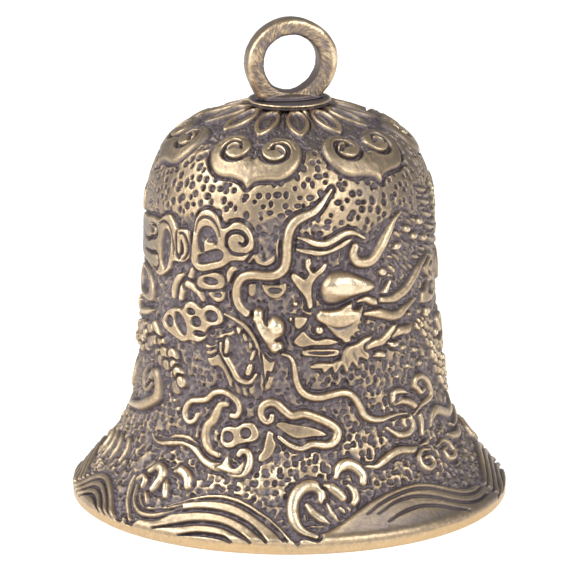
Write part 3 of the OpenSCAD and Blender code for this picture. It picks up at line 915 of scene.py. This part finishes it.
def head(relief):
    # small clouds and stalks round the whiskers
    relief.stroke([
        (-16, 28.3), (-13.6, 28.9), (-12, 28.4), (-9, 28.25), (-6.6, 28.6), (-5.4, 29.2)], 0.5, top=0.42,
        taper=(0.6, 0.6), moat=0.25)
    relief.stroke([(-3, 31), (-4.5, 29.9), (-4.3, 28.7)], 0.4, top=0.38, taper=(0.4, 0.6), moat=0.2)
    relief.plate([
        (-11, 26.4), (-10, 25.5), (-7, 24.9), (-3.4, 25), (-0.9, 25.8), (-1.4, 26.5), (-4, 26.3),
        (-7.5, 26.3)], top=0.42, bevel=0.3, moat=0.25)
    relief.pit(-5.6, 25.7, 1.3, 0.5, 0.26)
    relief.plate([
        (-16.2, 26.1), (-14.3, 26.5), (-12.8, 26.2), (-12.9, 25.3), (-14.8, 24.9), (-16.3, 25.3)], top=0.36,
        bevel=0.3, moat=0.2)
    # two strands that trail to the right
    relief.stroke([
        (2.6, 29.65), (7, 29.4), (12, 29.3), (16, 29.5), (20, 29.85), (24, 30.3), (28, 30.6)], 0.78,
        taper=(0.5, 0.5), moat=0.3)
    relief.stroke([
        (2.8, 30.8), (6, 30.6), (10, 30.2), (14, 30.1), (18, 30.5), (22, 30.95), (26, 30.9), (30.4, 30.3)],
        0.7, top=0.58, taper=(0.4, 0.6), moat=0.3)
    # antler
    relief.plate([
        (7, 23.9), (5.6, 25), (2.5, 26), (0.2, 27), (1.4, 27.5), (4, 27.2), (6, 26.9),
        (7, 27.3), (5.8, 27.9), (5.9, 28.6), (8, 28.9), (8.9, 28.3), (8.2, 27.9), (9.3, 27.5),
        (11.8, 27.9), (13.7, 28.35), (15, 28.1), (13.6, 27.4), (11, 26.9), (9.2, 26.2), (8.9, 25.3),
        (9.2, 24.1)], top=0.54, moat=0.3)
    # horn
    relief.stroke([
        (26.4, 29.6), (25.6, 28.9), (27, 28.15), (30.5, 27.9), (34, 28.1), (37.5, 29), (41, 30.2),
        (45, 31.4), (50, 32.1)], 1.15, top=0.66, taper=(0.7, 0.35), flat=2.4)
    # cheek blade with its torn edge
    relief.plate([
        (9.6, 23.3), (11.6, 23.9), (15.5, 23.7), (19.2, 23.9), (22.4, 24.3), (25.2, 24.4), (25.2, 23.7),
        (27, 23.6), (30.2, 24), (29.2, 23.1), (27.8, 22.7), (29.6, 22.2), (27.2, 21.9), (28.9, 21.4),
        (25.6, 21.2), (26.8, 20.6), (24, 20.9), (24.2, 20.3), (21, 20.3), (17.8, 20.9), (14.7, 21.8),
        (12, 22.4), (10, 22.8)], top=0.56, bevel=0.5, corners=True)
    relief.swell(18, 22.9, 5.2, 2.3, 0.76, -12)
    relief.swell(24.5, 22.9, 2.6, 1.8, 0.74, 10)
    relief.groove([(14.5, 22.3), (18, 21.9), (22, 22), (26, 22.6)], 0.24, 0.14, taper=(0.3, 0.3))
    # brow
    relief.plate([
        (11.2, 25.6), (12.4, 26.6), (15.3, 27.35), (20, 27.55), (24.5, 27.35), (28, 26.9), (31.5, 26.35),
        (35.6, 25.6), (33, 24.95), (29.5, 24.95), (26, 24.75), (22, 24.35), (18, 24.1), (14.3, 24.2),
        (12.1, 24.8)], top=0.52, bevel=0.9, moat=0.35)
    relief.swell(20.5, 25.95, 5, 3, 0.98, -4)
    relief.swell(26.5, 25.8, 5, 2.3, 0.86, -8)
    # small pieces between the snout and the cheek
    for az, s, across, up in ((2.3, 24.45, 0.75, 0.72), (1, 22.95, 0.8, 0.75), (11.4, 21.85, 1.05, 1.05)):
        relief.plate(oval(az, s, across, up), top=0.6, bevel=0.5, moat=0.2)
    relief.plate([
        (1.8, 23.2), (4, 23.35), (7.2, 23.15), (6.4, 22.5), (3.6, 21.9), (1.4, 22.3)], top=0.52, bevel=0.4,
        moat=0.15)
    # lips: a plate with a fine line, and a hollow oval below it
    relief.plate([
        (1.2, 20.8), (3.4, 21.5), (5.4, 21.9), (7.4, 21.4), (10, 21), (14.6, 21.1), (19.4, 20.6),
        (15, 20.3), (9, 20.35), (4.4, 20.2)], top=0.48, bevel=0.3, moat=0.25)
    relief.plate([
        (4.4, 19.9), (7, 20.15), (12, 20.1), (16.6, 20.05), (19.4, 19.8), (18.6, 19.3), (14, 19.2),
        (8.6, 19.35), (5.4, 19.4)], bevel=0.28, moat=0.25)
    relief.groove([(7, 19.75), (11.6, 19.65), (16.8, 19.65)], 0.34, 0.3, taper=(0.4, 0.4))
    # beard: a plate whose lower edge breaks into spikes
    relief.plate([
        (7.2, 18.5), (10.2, 18.85), (15.7, 18.75), (19.3, 19), (19.8, 19.6), (22, 20.2), (26, 20.4),
        (29.4, 20.85), (34, 20.95), (31.5, 20.25), (35, 20.15), (30.8, 19.6), (31.8, 19), (30.6, 18.4),
        (27, 18.8), (26.4, 17.7), (23.8, 18.4), (21.6, 17.3), (19.8, 18.25), (16.9, 17.4), (15.7, 18.15),
        (12.7, 17.5), (11.8, 18.05), (7.6, 18.1)], top=0.52, bevel=0.4, corners=True, moat=0.35)
    for az0, s0, az1, s1 in (
            (21, 19.3, 22.3, 17.9), (24, 19.7, 26.2, 18.3), (27, 19.9, 30.3, 18.7),
            (17.6, 18.8, 17.2, 17.9)):
        relief.groove([
            (az0, s0), ((az0 + az1) / 2, (s0 + s1) / 2), (az1, s1)], 0.16, 0.12, taper=(0.3, 0.6))
    relief.stroke([
        (30.5, 19.8), (33.6, 20), (37, 20.1), (41, 20.7), (45, 21.4), (48.5, 22)], 0.95, top=0.56,
        taper=(0.8, 0.4), moat=0.0)
    for points, width, taper in (
            ([(42.8, 20.3), (46.5, 20.7), (50.5, 20.6), (54, 21)], 1.0, (0.5, 0.4)),
            ([(33.2, 18.8), (36, 18.9), (38.8, 18.5)], 0.7, (0.4, 0.3)),
            ([(40, 19.8), (43, 19.5), (45.5, 19.7)], 0.6, (0.5, 0.4)),
            ([(30, 23), (34, 22.9), (38, 22.7), (42, 22.35), (46, 22.3), (50, 22.7), (56, 23.2)], 1.1,
              (0.5, 0.5)),
            ([(27, 24.3), (30.5, 24.4), (34, 24.05), (37.4, 24.1), (40, 24.9), (42.6, 25.7)], 0.85,
              (0.5, 0.5)),
            ([(37.5, 24.1), (43, 23.95), (47, 24.15), (52, 24.6), (57, 25.4), (62, 26.2), (70, 27)], 1.05,
              (0.7, 0.5))):
        relief.stroke(points, width, top=0.58, taper=taper, moat=0.25)
    relief.plate([
        (36.6, 26.9), (38.6, 27.2), (41, 26.8), (40, 26.3), (37.4, 26.4)], top=0.52, bevel=0.3, moat=0.2)


def mane(relief):
    """Short locks and scales behind the horn, and the shoulder of the body further right."""
    draw = np.random.default_rng(21)
    for i in range(48):
        az = 41 + 34 * draw.random()
        s = 24.8 + 7.6 * draw.random() + 0.03 * (az - 41)
        slant = draw.uniform(-0.9, -0.2)
        relief.stroke([
            (az, s), (az + 1.6, s + slant * 0.3), (az + 3.4, s + slant)], draw.uniform(0.3, 0.52),
            top=draw.uniform(0.3, 0.46), taper=(0.7, 0.3), moat=0.15)
    for az, s in ((46.5, 28.9), (52.5, 30.3), (57.5, 29.4), (62, 30.6), (66, 28.8)):
        relief.plate(oval(az, s, 1.3, 0.9, draw.uniform(-30, 30)), top=0.56, bevel=0.4, moat=0.25)


def right_side(relief):
    """Clouds and the flank of the body at the right edge of the front."""
    relief.plate([
        (61, 22.6), (66, 22.3), (72, 22.3), (77, 23), (78, 24.2), (75, 25), (77, 26), (73, 27),
        (68, 26.8), (64, 26.2), (66, 25.2), (69.5, 24.6), (66, 24), (62, 23.6)], top=0.52, bevel=0.4)
    relief.sink([(68, 23.3), (72, 23.1), (74.5, 23.8), (72, 24.2), (69, 24)], 0.35, 0.15)
    relief.groove([(74, 26.2), (71, 25.9), (69.5, 25.3), (72, 24.9)], 0.34, 0.36, taper=(0.8, 0.6))
    for i in range(5):
        relief.stroke(moved([
            (0, 34), (6, 33.4), (13, 33)], 62 + 2.2 * i, -1.35 * i), 0.5, top=0.44, taper=(0.4, 0.4),
            moat=0.2)
    for az, s, across, up, turn in (
            (48, 19, 1.1, 0.7, 10), (55, 18.4, 1, 0.7, -10), (60, 21.9, 1, 0.7, 15),
            (53, 22, 0.9, 0.6, 0), (58, 16.9, 1, 0.7, 20), (50, 17.1, 0.8, 0.6, 0)):
        relief.plate(oval(az, s, across, up, turn), top=0.44, moat=0.2)


def whiskers(relief):
    relief.stroke([
        (-16.4, 23.4), (-19.3, 24), (-20.7, 24.9), (-20.4, 26), (-18.2, 26.8), (-14, 27.1), (-9, 27.05),
        (-5, 27.2), (-2.1, 27.8), (-1, 28.9), (-0.9, 30.1), (0, 31.4), (2.4, 32.3), (6, 32.8), (10, 33.2),
        (13.2, 33.9), (15.6, 34.6), (17.8, 35.2)], 0.98, top=0.64, taper=(0.9, 0.4), crease=0.05)
    relief.stroke([
        (-2.6, 19.65), (0, 19.4), (1.5, 18.8), (2.1, 17.9), (2.7, 17), (4.3, 16.1), (7.2, 15.55),
        (11, 15.4), (15, 15.55), (19, 15.7), (22.2, 15.55), (24.6, 15), (26.4, 14.2), (28, 13.3),
        (31, 12.8), (35, 12.6), (38.5, 12.7), (43, 12.75), (47.5, 12.6)], 0.8, top=0.62, taper=(0.5, 0.35))


# ---------------------------------------------------------------- the sides and the back

# The middle of the long body, from the right edge of the front round the back to the left edge.
BODY = [
    (58, 21.5), (64, 20.6), (70, 18.6), (76, 15.8), (84, 14), (93, 14.2), (101, 16.8), (108, 21),
    (116, 25.2), (127, 28.2), (140, 29.2), (153, 27.8), (163, 24.2), (171, 20), (181, 16.4), (193, 14.6),
    (206, 15.4), (218, 18.6), (229, 22.6), (241, 24.9), (253, 24.2), (262, 21.2), (270, 18.4)]


def back_waves(relief):
    for az, peak, left, right, lines in (
            (134, 5.2, 24, 22, 4), (176, 6, 28, 26, 5), (222, 5, 26, 22, 4), (262, 5.6, 24, 24, 4)):
        wave_group(relief, az, peak, left, right, lines, 0.9, reach=0.92)
    crest_left(relief, 112, flip=-1)
    crest_left(relief, 158)
    crest_right(relief, 198)
    crest_left(relief, 244, flip=-1)


def back_clouds(relief):
    for az, s, flip, grow in (
            (128, 20.2, 1, 0.95), (206, 21.4, -1, 0.95), (112, 9.6, 1, 1), (172, 10.2, -1, 1),
            (236, 10, 1, 1), (190, 28, 1, 0.9), (250, 28.2, -1, 0.9), (104, 28.6, 1, 0.85)):
        cloud_scroll(relief, az, s, flip, grow)
    for az, s, flip in (
            (146, 15.6, 1), (160, 31.8, -1), (215, 28.5, 1), (236, 17, -1), (86, 18.2, 1), (92, 24, -1),
            (148, 24.2, -1), (262, 12.6, 1)):
        spiral(relief, az, s, flip)


def back_body(relief):
    """The long scaled body, winding round the back from the right side to the left."""
    back_spines(relief, BODY)
    scales_along(relief, BODY, 3.3, size=1.5, top=0.56, seed=9)
    claw(relief, 118, 23.2)
    claw(relief, 224, 18.6, flip=-1, turn=-1)
    for i in range(7):
        relief.stroke(moved([
            (0, 0), (4, 0.3), (8, -0.2), (12, 0.2 - 0.1 * i)], 76 + 0.6 * i, 33.2 - 0.95 * i), 0.55,
            taper=(0.5, 0.3), moat=0.2)


def make_relief():
    relief = Relief()
    make_ground(relief)
    for i in range(6):
        ruyi_head(relief, -18 + 60 * i)
    for i in range(13):
        petal(relief, 7.3 + 360 / 13 * i)
    for part in (
            back_waves, back_clouds, back_body, front_waves, left_body, lower_clouds, upper_left_clouds,
            open_jaw, mane, right_side, head, snout, whiskers):
        part(relief)
    return relief.h


# ---------------------------------------------------------------- the shell as a mesh

# Patches painted darker than the rest as painted shade, or lighter as painted highlights where the last value
# is negative: middle and half width in degrees, lower and upper edge in mm, and how much darker.
PAINTED_LIGHT_PATCHES = [
    (48, 30, -2, 6, 0.20), (52, 32, 31, 42, 0.20), (-62, 18, 31, 42, 0.12), (-60, 20, 6, 16, 0.16),
    (66, 22, 6, 16, 0.14), (-16, 15, 5.5, 9, -0.40), (14, 13, 7, 12, -0.30), (-6, 12, 31, 36, 0.12),
    (-26, 24, 0, 5.5, 0.12), (-40, 12, 31, 36, -0.15), (12, 8, 31, 37, -0.15)]
INSIDE_WEAR = 0.33
LIP_WEAR = 0.70


def rubbing_and_painted_light():
    """Darker on the barrel, the flare and the sides, painted shade on the tops of the cloud-heads and round
    the crown, painted shade and highlights in patches.
    """
    s = UP + cast_noise(3.0, 0.8)
    barrel = smooth(12.5, 15.5, s) * smooth(32.0, 29.0, s)
    flare = smooth(6.5, 4.5, s)
    # painted shade: the upper parts of the cloud-heads and the crown are made darker
    cloud_heads = smooth(37.8, 39.4, s) * smooth(42.0, 41.0, s)
    crown = smooth(40.0, 42.5, s)
    side = smooth(50.0, 30.0, np.abs((AROUND + 180) % 180 - 90))
    amount = (1.0 - 0.22 * barrel - 0.02 * crown - 0.12 * flare - 0.16 * cloud_heads) * (1 - 0.16 * side)
    # painted shade where the last value is positive, painted highlight where it is negative
    for middle, half, low, high, less in PAINTED_LIGHT_PATCHES:
        across = smooth(half + 8.0, half - 8.0, np.abs(AROUND - middle))
        amount -= less * across * smooth(low - 1.0, low + 1.0, s) * smooth(high + 1.0, high - 1.0, s)
    return amount + cast_noise(2.6, 0.07)


def as_cast(height, plain):
    """The relief with soft edges and the grain of the casting, which is strongest in the recesses."""
    height = height * (1 - plain) + (0.02 - GROUND) / GAIN * plain
    under_collar = smooth(46.0, 46.3, UP)
    height = height * (1 - under_collar) + 0.3 * under_collar
    waves = smooth(0.25, 0.4, height) * (1 - plain)
    height = height + 0.14 * waves * np.exp(-((UP - 1.5) / 0.45) ** 2)      # they swell out to the lip
    low = smooth(0.22, 0.0, height)
    grain = np.abs(cast_noise(0.2, 0.11)) * (1 - 0.7 * smooth(40.0, 42.5, UP))
    height = GAIN * blurred(height + low * grain * (1 - plain), 0.058)
    height = height + (0.006 + 0.012 * low) * cast_noise(0.25, 1.0) + cast_noise(0.9, 0.012)
    return height + (0.004 + 0.040 * low) * cast_noise(0.09, 1.0) * (1 - plain)


def patina_and_painted_light(height, plain):
    """Rubbing with painted shade and highlights, and bare metal, from 0 to 1: tops and edges are bright,
    recesses stay dark, the lip is bare.
    """
    convex = height - blurred(height, 0.32)
    wide = height - blurred(height, 0.75)
    # rubbing together with painted shade and painted highlights
    rubbing_with_painted_light = rubbing_and_painted_light()
    proud = np.clip(height / GAIN - 0.60, 0, 0.4)
    wear = np.minimum(0.10 + (0.19 + 0.55 * (height - 0.25) + 0.70 * wide) * rubbing_with_painted_light, 0.53 + 1.1 * proud)
    wear = np.clip(wear + 2.2 * convex * rubbing_with_painted_light, 0, 1)
    wear = wear * (1 - plain) + LIP_WEAR * plain
    bare = 0.75 * plain * smooth(1.15, 0.75, UP + cast_noise(1.0, 0.06))
    dull = 0.5 * smooth(30.0, 12.0, np.abs(AROUND + 76))
    return wear, bare * np.clip(0.85 + cast_noise(3.0, 0.12) - dull, 0, 1)


def inner_outline():
    """The inside of the wall, from the crown's hole to the mouth."""
    t = np.linspace(1, 0, 12)
    rows = [[(HOLE_R, CROWN_Z), (HOLE_R, CROWN_Z - WALL)]]
    for i, control in enumerate((DOME, BARREL, FLARE)):
        along = on_curve(control, np.clip(t + 1e-4, 0, 1)) - on_curve(control, np.clip(t - 1e-4, 0, 1))
        along /= np.linalg.norm(along, axis=1)[:, None]
        inwards = np.stack([-along[:, 1], along[:, 0]], axis=1)
        rows.append((on_curve(control, t) + WALL * inwards)[min(i, 1):])
    return np.vstack(rows + [[(MOUTH_R - WALL, 0.0)]])


def shell_rows(height):
    """Radius and height in mm of the whole skin: the relief outside, the crown's hole, and the inside."""
    position = np.stack([np.interp(S, LENGTHS, OUTLINE[:, i]) for i in (0, 1)], axis=1)
    tangent = np.gradient(position, axis=0)
    tangent /= np.linalg.norm(tangent, axis=1)[:, None]
    lift = (height + GROUND) * smooth(0.0, 0.35, UP)
    inner = inner_outline()[:, :, None] * np.ones(COLS)
    r = np.vstack([position[:, :1] + tangent[:, 1:] * lift, inner[:, 0]])
    z = np.vstack([position[:, 1:] - tangent[:, :1] * lift, inner[:, 1]])
    return r, z


def grid_quads(rows, cols, close_rows=True):
    """Quads of a grid whose columns close on themselves, and whose rows do so if asked."""
    i, j = np.meshgrid(np.arange(rows if close_rows else rows - 1), np.arange(cols), indexing="ij")
    below, above, beside = i * cols, (i + 1) % rows * cols, (j + 1) % cols
    return np.stack([below + j, below + beside, above + beside, above + j], axis=-1).reshape(-1, 4)


def dress(mesh, material, **values):
    """Smooth shading, a material, and the values that it reads at each vertex."""
    mesh.polygons.foreach_set("use_smooth", np.ones(len(mesh.polygons), bool))
    for name, numbers in values.items():
        attribute = mesh.attributes.new(name, "FLOAT", "POINT")
        attribute.data.foreach_set("value", numbers.astype(np.float32).ravel())
    mesh.materials.append(material)
    mesh.update()


def add_shell_uv(mesh, count):
    """A flat unwrapping: the outside fills most of the picture, and the inside has a strip above it."""
    share = 0.86
    outside = np.linspace(0.005, share, ROWS)
    v_rows = np.concatenate([outside, np.linspace(share + 0.01, 0.99, count - ROWS + 1)])
    i, j = np.meshgrid(np.arange(count), np.arange(COLS), indexing="ij")
    u0, u1 = 0.005 + 0.99 * j / COLS, 0.005 + 0.99 * (j + 1) / COLS
    v0, v1 = v_rows[i], v_rows[i + 1]
    uv = np.stack([np.stack(corner, -1) for corner in ((u0, v0), (u1, v0), (u1, v1), (u0, v1))], axis=2)
    mesh.uv_layers.new(name="OFBake").data.foreach_set("uv", uv.astype(np.float32).ravel())


def build_shell():
    plain = smooth(1.25, 0.95, UP)          # 1 on the plain lip, 0 on the relief above it
    height = as_cast(make_relief(), plain)
    wear, bare = patina_and_painted_light(height, plain)
    r, z = shell_rows(height)
    inside = (len(r) - ROWS, COLS)
    a = np.radians(AROUND)
    points = np.stack([r * np.sin(a), -r * np.cos(a), z], axis=-1) * MM
    quads = grid_quads(len(r), COLS)

    mesh = bpy.data.meshes.new("relief_shell")
    mesh.vertices.add(r.size)
    mesh.vertices.foreach_set("co", points.ravel())
    mesh.loops.add(quads.size)
    mesh.loops.foreach_set("vertex_index", quads.ravel())
    mesh.polygons.add(len(quads))
    mesh.polygons.foreach_set("loop_start", np.arange(0, quads.size, 4))
    mesh.update(calc_edges=True)
    wear, bare = np.vstack([wear, np.full(inside, INSIDE_WEAR)]), np.vstack([bare, np.zeros(inside)])
    dress(mesh, antique_brass("antique_brass", 2200.0), wear=wear, bare=bare)
    add_shell_uv(mesh, len(r))
    shell = add_object("relief_shell", mesh)
    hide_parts("bell_body")
    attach(shell, "bell")


# ---------------------------------------------------------------- the hanging eye

# The same values as in the CAD source, in mm.
EYE_Z, EYE_R, EYE_HOLE_R, EYE_DEPTH = 42.75, 4.35, 2.75, 2.3
EYE_YAW = math.radians(15)
COLLAR_T = 0.55
COLLAR_TOP = CROWN_Z + COLLAR_T
SHANK_R, SHANK_END = 1.5, 34.1
VOXEL = 0.068                           # of the grid in which ring, foot and shank become one casting


def to_eye(x, y):
    """From the bell's X and Y to the eye's own axes: across the ring, and along its hole."""
    return x * math.cos(EYE_YAW) + y * math.sin(EYE_YAW), y * math.cos(EYE_YAW) - x * math.sin(EYE_YAW)


def from_eye(across, along):
    return (across * math.cos(EYE_YAW) - along * math.sin(EYE_YAW),
            across * math.sin(EYE_YAW) + along * math.cos(EYE_YAW))


def eye_ring():
    """The ring as filed by hand: a rounded four-sided section that is not quite even all the way round."""
    turns, section = 96, 32
    q = np.linspace(0, 2 * math.pi, section, endpoint=False)
    power = np.where(np.cos(q) > 0, 0.56, 0.36)         # rounder outside than in the hole
    across = np.sign(np.cos(q)) * np.abs(np.cos(q)) ** power
    along = np.sign(np.sin(q)) * np.abs(np.sin(q)) ** power
    points = []
    for a in np.linspace(0, 2 * math.pi, turns, endpoint=False):
        straight_from = math.radians(27 if math.cos(a) < 0 else 42)
        below = max(0.0, math.asin(max(0.0, -math.sin(a))) - straight_from)
        outer = EYE_R + 0.02 + 0.05 * math.sin(2 * a + 0.6) + 0.03 * math.sin(5 * a)
        outer = (outer + 0.26 * max(0.0, math.cos(a)) ** 3) / math.cos(below)
        hole = EYE_HOLE_R + 0.03 * math.sin(3 * a + 1.0)
        thick = (EYE_DEPTH - 0.1) * (1 + 0.03 * math.sin(2 * a + 2.0))
        radius = (outer + hole) / 2 + across * (outer - hole) / 2
        x, y = from_eye(radius * math.cos(a), along * thick / 2)
        z = np.maximum(EYE_Z + radius * math.sin(a), COLLAR_TOP + 0.12)
        points.append(np.stack([x, y, z], axis=-1))
    return np.vstack(points), grid_quads(turns, section)


def turned(profile, cols):
    """Points of a turned shape from the (radius, height) points of its profile."""
    angles = 2 * math.pi * np.arange(cols) / cols
    return np.array([(r * math.cos(a), r * math.sin(a), z) for r, z in profile for a in angles])


def eye_foot():
    """Shank and foot. The foot is an oval: narrower along the eye's hole than across it."""
    cols = 64
    profile = [(0.001, SHANK_END), (SHANK_R, SHANK_END)] + moved([
        (SHANK_R, -0.02), (3.4, -0.02), (3.4, 0.08), (3.1, 0.16), (2.9, 0.35), (2.2, 0.45),
        (0.001, 0.5)], s=COLLAR_TOP)
    points = turned(profile, cols)
    foot = points[:, 2] > COLLAR_TOP - 0.1
    across, along = to_eye(*points[foot, :2].T)
    points[foot, :2] = np.stack(from_eye(across, 0.52 * along), axis=-1)
    return points, grid_quads(len(profile), cols, close_rows=False)


def cast_in_one(name, *parts):
    """One mesh made from closed parts that overlap, with soft edges."""
    points, quads = parts[0]
    for more_points, more_quads in parts[1:]:
        quads = np.vstack([quads, more_quads + len(points)])
        points = np.vstack([points, more_points])
    rough = bpy.data.meshes.new("rough")
    rough.from_pydata((points * MM).tolist(), [], quads.tolist())
    block = add_object("rough", rough)
    remesh = block.modifiers.new("remesh", "REMESH")
    remesh.mode = "VOXEL"
    remesh.voxel_size = VOXEL * MM
    soften = block.modifiers.new("soften", "SMOOTH")
    soften.factor = 0.5
    soften.iterations = 8
    mesh = bpy.data.meshes.new_from_object(block.evaluated_get(bpy.context.evaluated_depsgraph_get()))
    bpy.data.objects.remove(block)
    mesh.name = name
    return mesh


def per_vertex(mesh, name):
    values = np.empty((len(mesh.vertices), 3), np.float32)
    mesh.vertices.foreach_get(name, values.ravel())
    return values


def build_eye():
    """Ring, foot and shank in one casting, with the marks of the file, an oxide, and painted shade in the
    corner at the collar.
    """
    mesh = cast_in_one("hanging_eye_cast", eye_ring(), eye_foot())
    place, normal = per_vertex(mesh, "co"), per_vertex(mesh, "normal")
    x, y, height = place.T / MM
    across, along = to_eye(x, y)
    distance = np.hypot(across, height - EYE_Z)
    angle = np.arctan2(height - EYE_Z, across)
    off_middle = np.abs(along) / (EYE_DEPTH / 2)
    face = smooth(0.55, 0.9, off_middle) * smooth(EYE_R, EYE_R - 0.45, distance)
    strokes, lumps = np.empty(len(place)), np.empty(len(place))
    for i, (a, d, h, v) in enumerate(np.stack([angle, distance, height, along], axis=-1).tolist()):
        strokes[i] = noise.noise(Vector((a * 21.0 + 5.0 * d, d * 2.2 - a * 2.0, v * 3.0)))
        lumps[i] = noise.noise(Vector((a * 3.0, d * 0.9, v * 0.9)))
        lumps[i] += 0.3 * noise.noise(Vector((a * 9.0, d * 4.0, h)))
    lift = 0.045 * lumps + (0.006 + 0.030 * face) * strokes
    lift *= smooth(COLLAR_TOP + 0.05, COLLAR_TOP + 0.6, height)
    place += normal * (lift * MM)[:, None]
    mesh.vertices.foreach_set("co", place.ravel())

    clear_of_corner_shade = smooth(COLLAR_TOP + 0.1, COLLAR_TOP + 0.55, height)     # painted shade lies in the corner at the collar
    wall = smooth(EYE_HOLE_R + 0.22, EYE_HOLE_R - 0.05, distance)
    rim = smooth(EYE_R - 0.55, EYE_R - 0.2, distance)
    side = rim * smooth(0.8, 0.5, off_middle)
    wear = (0.34 + 0.50 * strokes * face + 0.34 * lumps + 0.42 * rim - 0.42 * side) * (1 - 0.85 * wall)
    wear = np.clip(0.04 + clear_of_corner_shade * wear, 0.04, 1)
    dress(mesh, antique_brass("eye_brass", 3200.0), wear=wear, bare=0.08 * clear_of_corner_shade)
    eye = add_object("hanging_eye_cast", mesh)
    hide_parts("hanging_eye")
    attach(eye, "bell")


def build_collar():
    """A thin turned disc: a dished top, and a rounded bead at its edge, bright partly from rubbing and partly
    as a painted highlight, with painted shade below it.
    """
    cols = 180
    low, high = COLLAR_TOP - COLLAR_T, COLLAR_TOP
    rows = [
        (HOLE_R, low, 0.2), (3.75, low, 0.1), (3.80, low + 0.12, 0.05), (3.77, low + 0.24, 0.1),
        (3.86, low + 0.34, 0.35), (3.97, low + 0.38, 0.75), (4.00, low + 0.45, 0.95),
        (3.97, low + 0.52, 0.95), (3.87, high, 0.8), (3.75, high - 0.03, 0.45), (3.62, high - 0.09, 0.15),
        (3.3, high - 0.08, 0.1), (HOLE_R, high - 0.05, 0.1)]        # radius, height, and brightness: the bead is partly a painted highlight, the darker rows below it are painted shade
    draw = np.random.default_rng(12)
    place = turned([row[:2] for row in rows], cols)
    uneven = np.interp(np.arange(cols), np.linspace(0, cols, 13), np.append(draw.standard_normal(12), 0))
    place[:, 2] += np.tile(0.02 * uneven, len(rows))
    wear = np.repeat([row[2] for row in rows], cols) * draw.uniform(0.8, 1.1, len(place))
    mesh = bpy.data.meshes.new("collar_turned")
    mesh.from_pydata((place * MM).tolist(), [], grid_quads(len(rows), cols).tolist())
    dress(mesh, antique_brass("collar_brass", 2600.0), wear=wear)
    collar = add_object("collar_turned", mesh)
    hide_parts("crown_collar")
    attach(collar, "bell")


# ---------------------------------------------------------------- everything

def dress_nodes():
    """Materials for the CAD nodes that show as they are."""
    for node, name, dark, bright, roughness in (
            ("clapper_staple", "staple_brass", (0.34, 0.25, 0.14), (0.52, 0.40, 0.23), 0.42),
            ("clapper_ball", "ball_brass", (0.42, 0.31, 0.16), (0.62, 0.48, 0.27), 0.38),
            ("crown_washer", "washer_steel", (0.30, 0.29, 0.28), (0.48, 0.47, 0.45), 0.40),
            ("crown_nut", "nut_steel", (0.30, 0.29, 0.28), (0.50, 0.49, 0.47), 0.38),
            ("clapper_link", "link_steel", (0.28, 0.27, 0.26), (0.46, 0.45, 0.43), 0.36),
            ("clapper_rod", "rod_steel", (0.28, 0.27, 0.26), (0.46, 0.45, 0.43), 0.36)):
        material = rubbed_metal(name, dark, bright, roughness)
        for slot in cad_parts[node].material_slots:
            slot.material = material


add_camera()
add_studio()
build_shell()
build_eye()
build_collar()
dress_nodes()
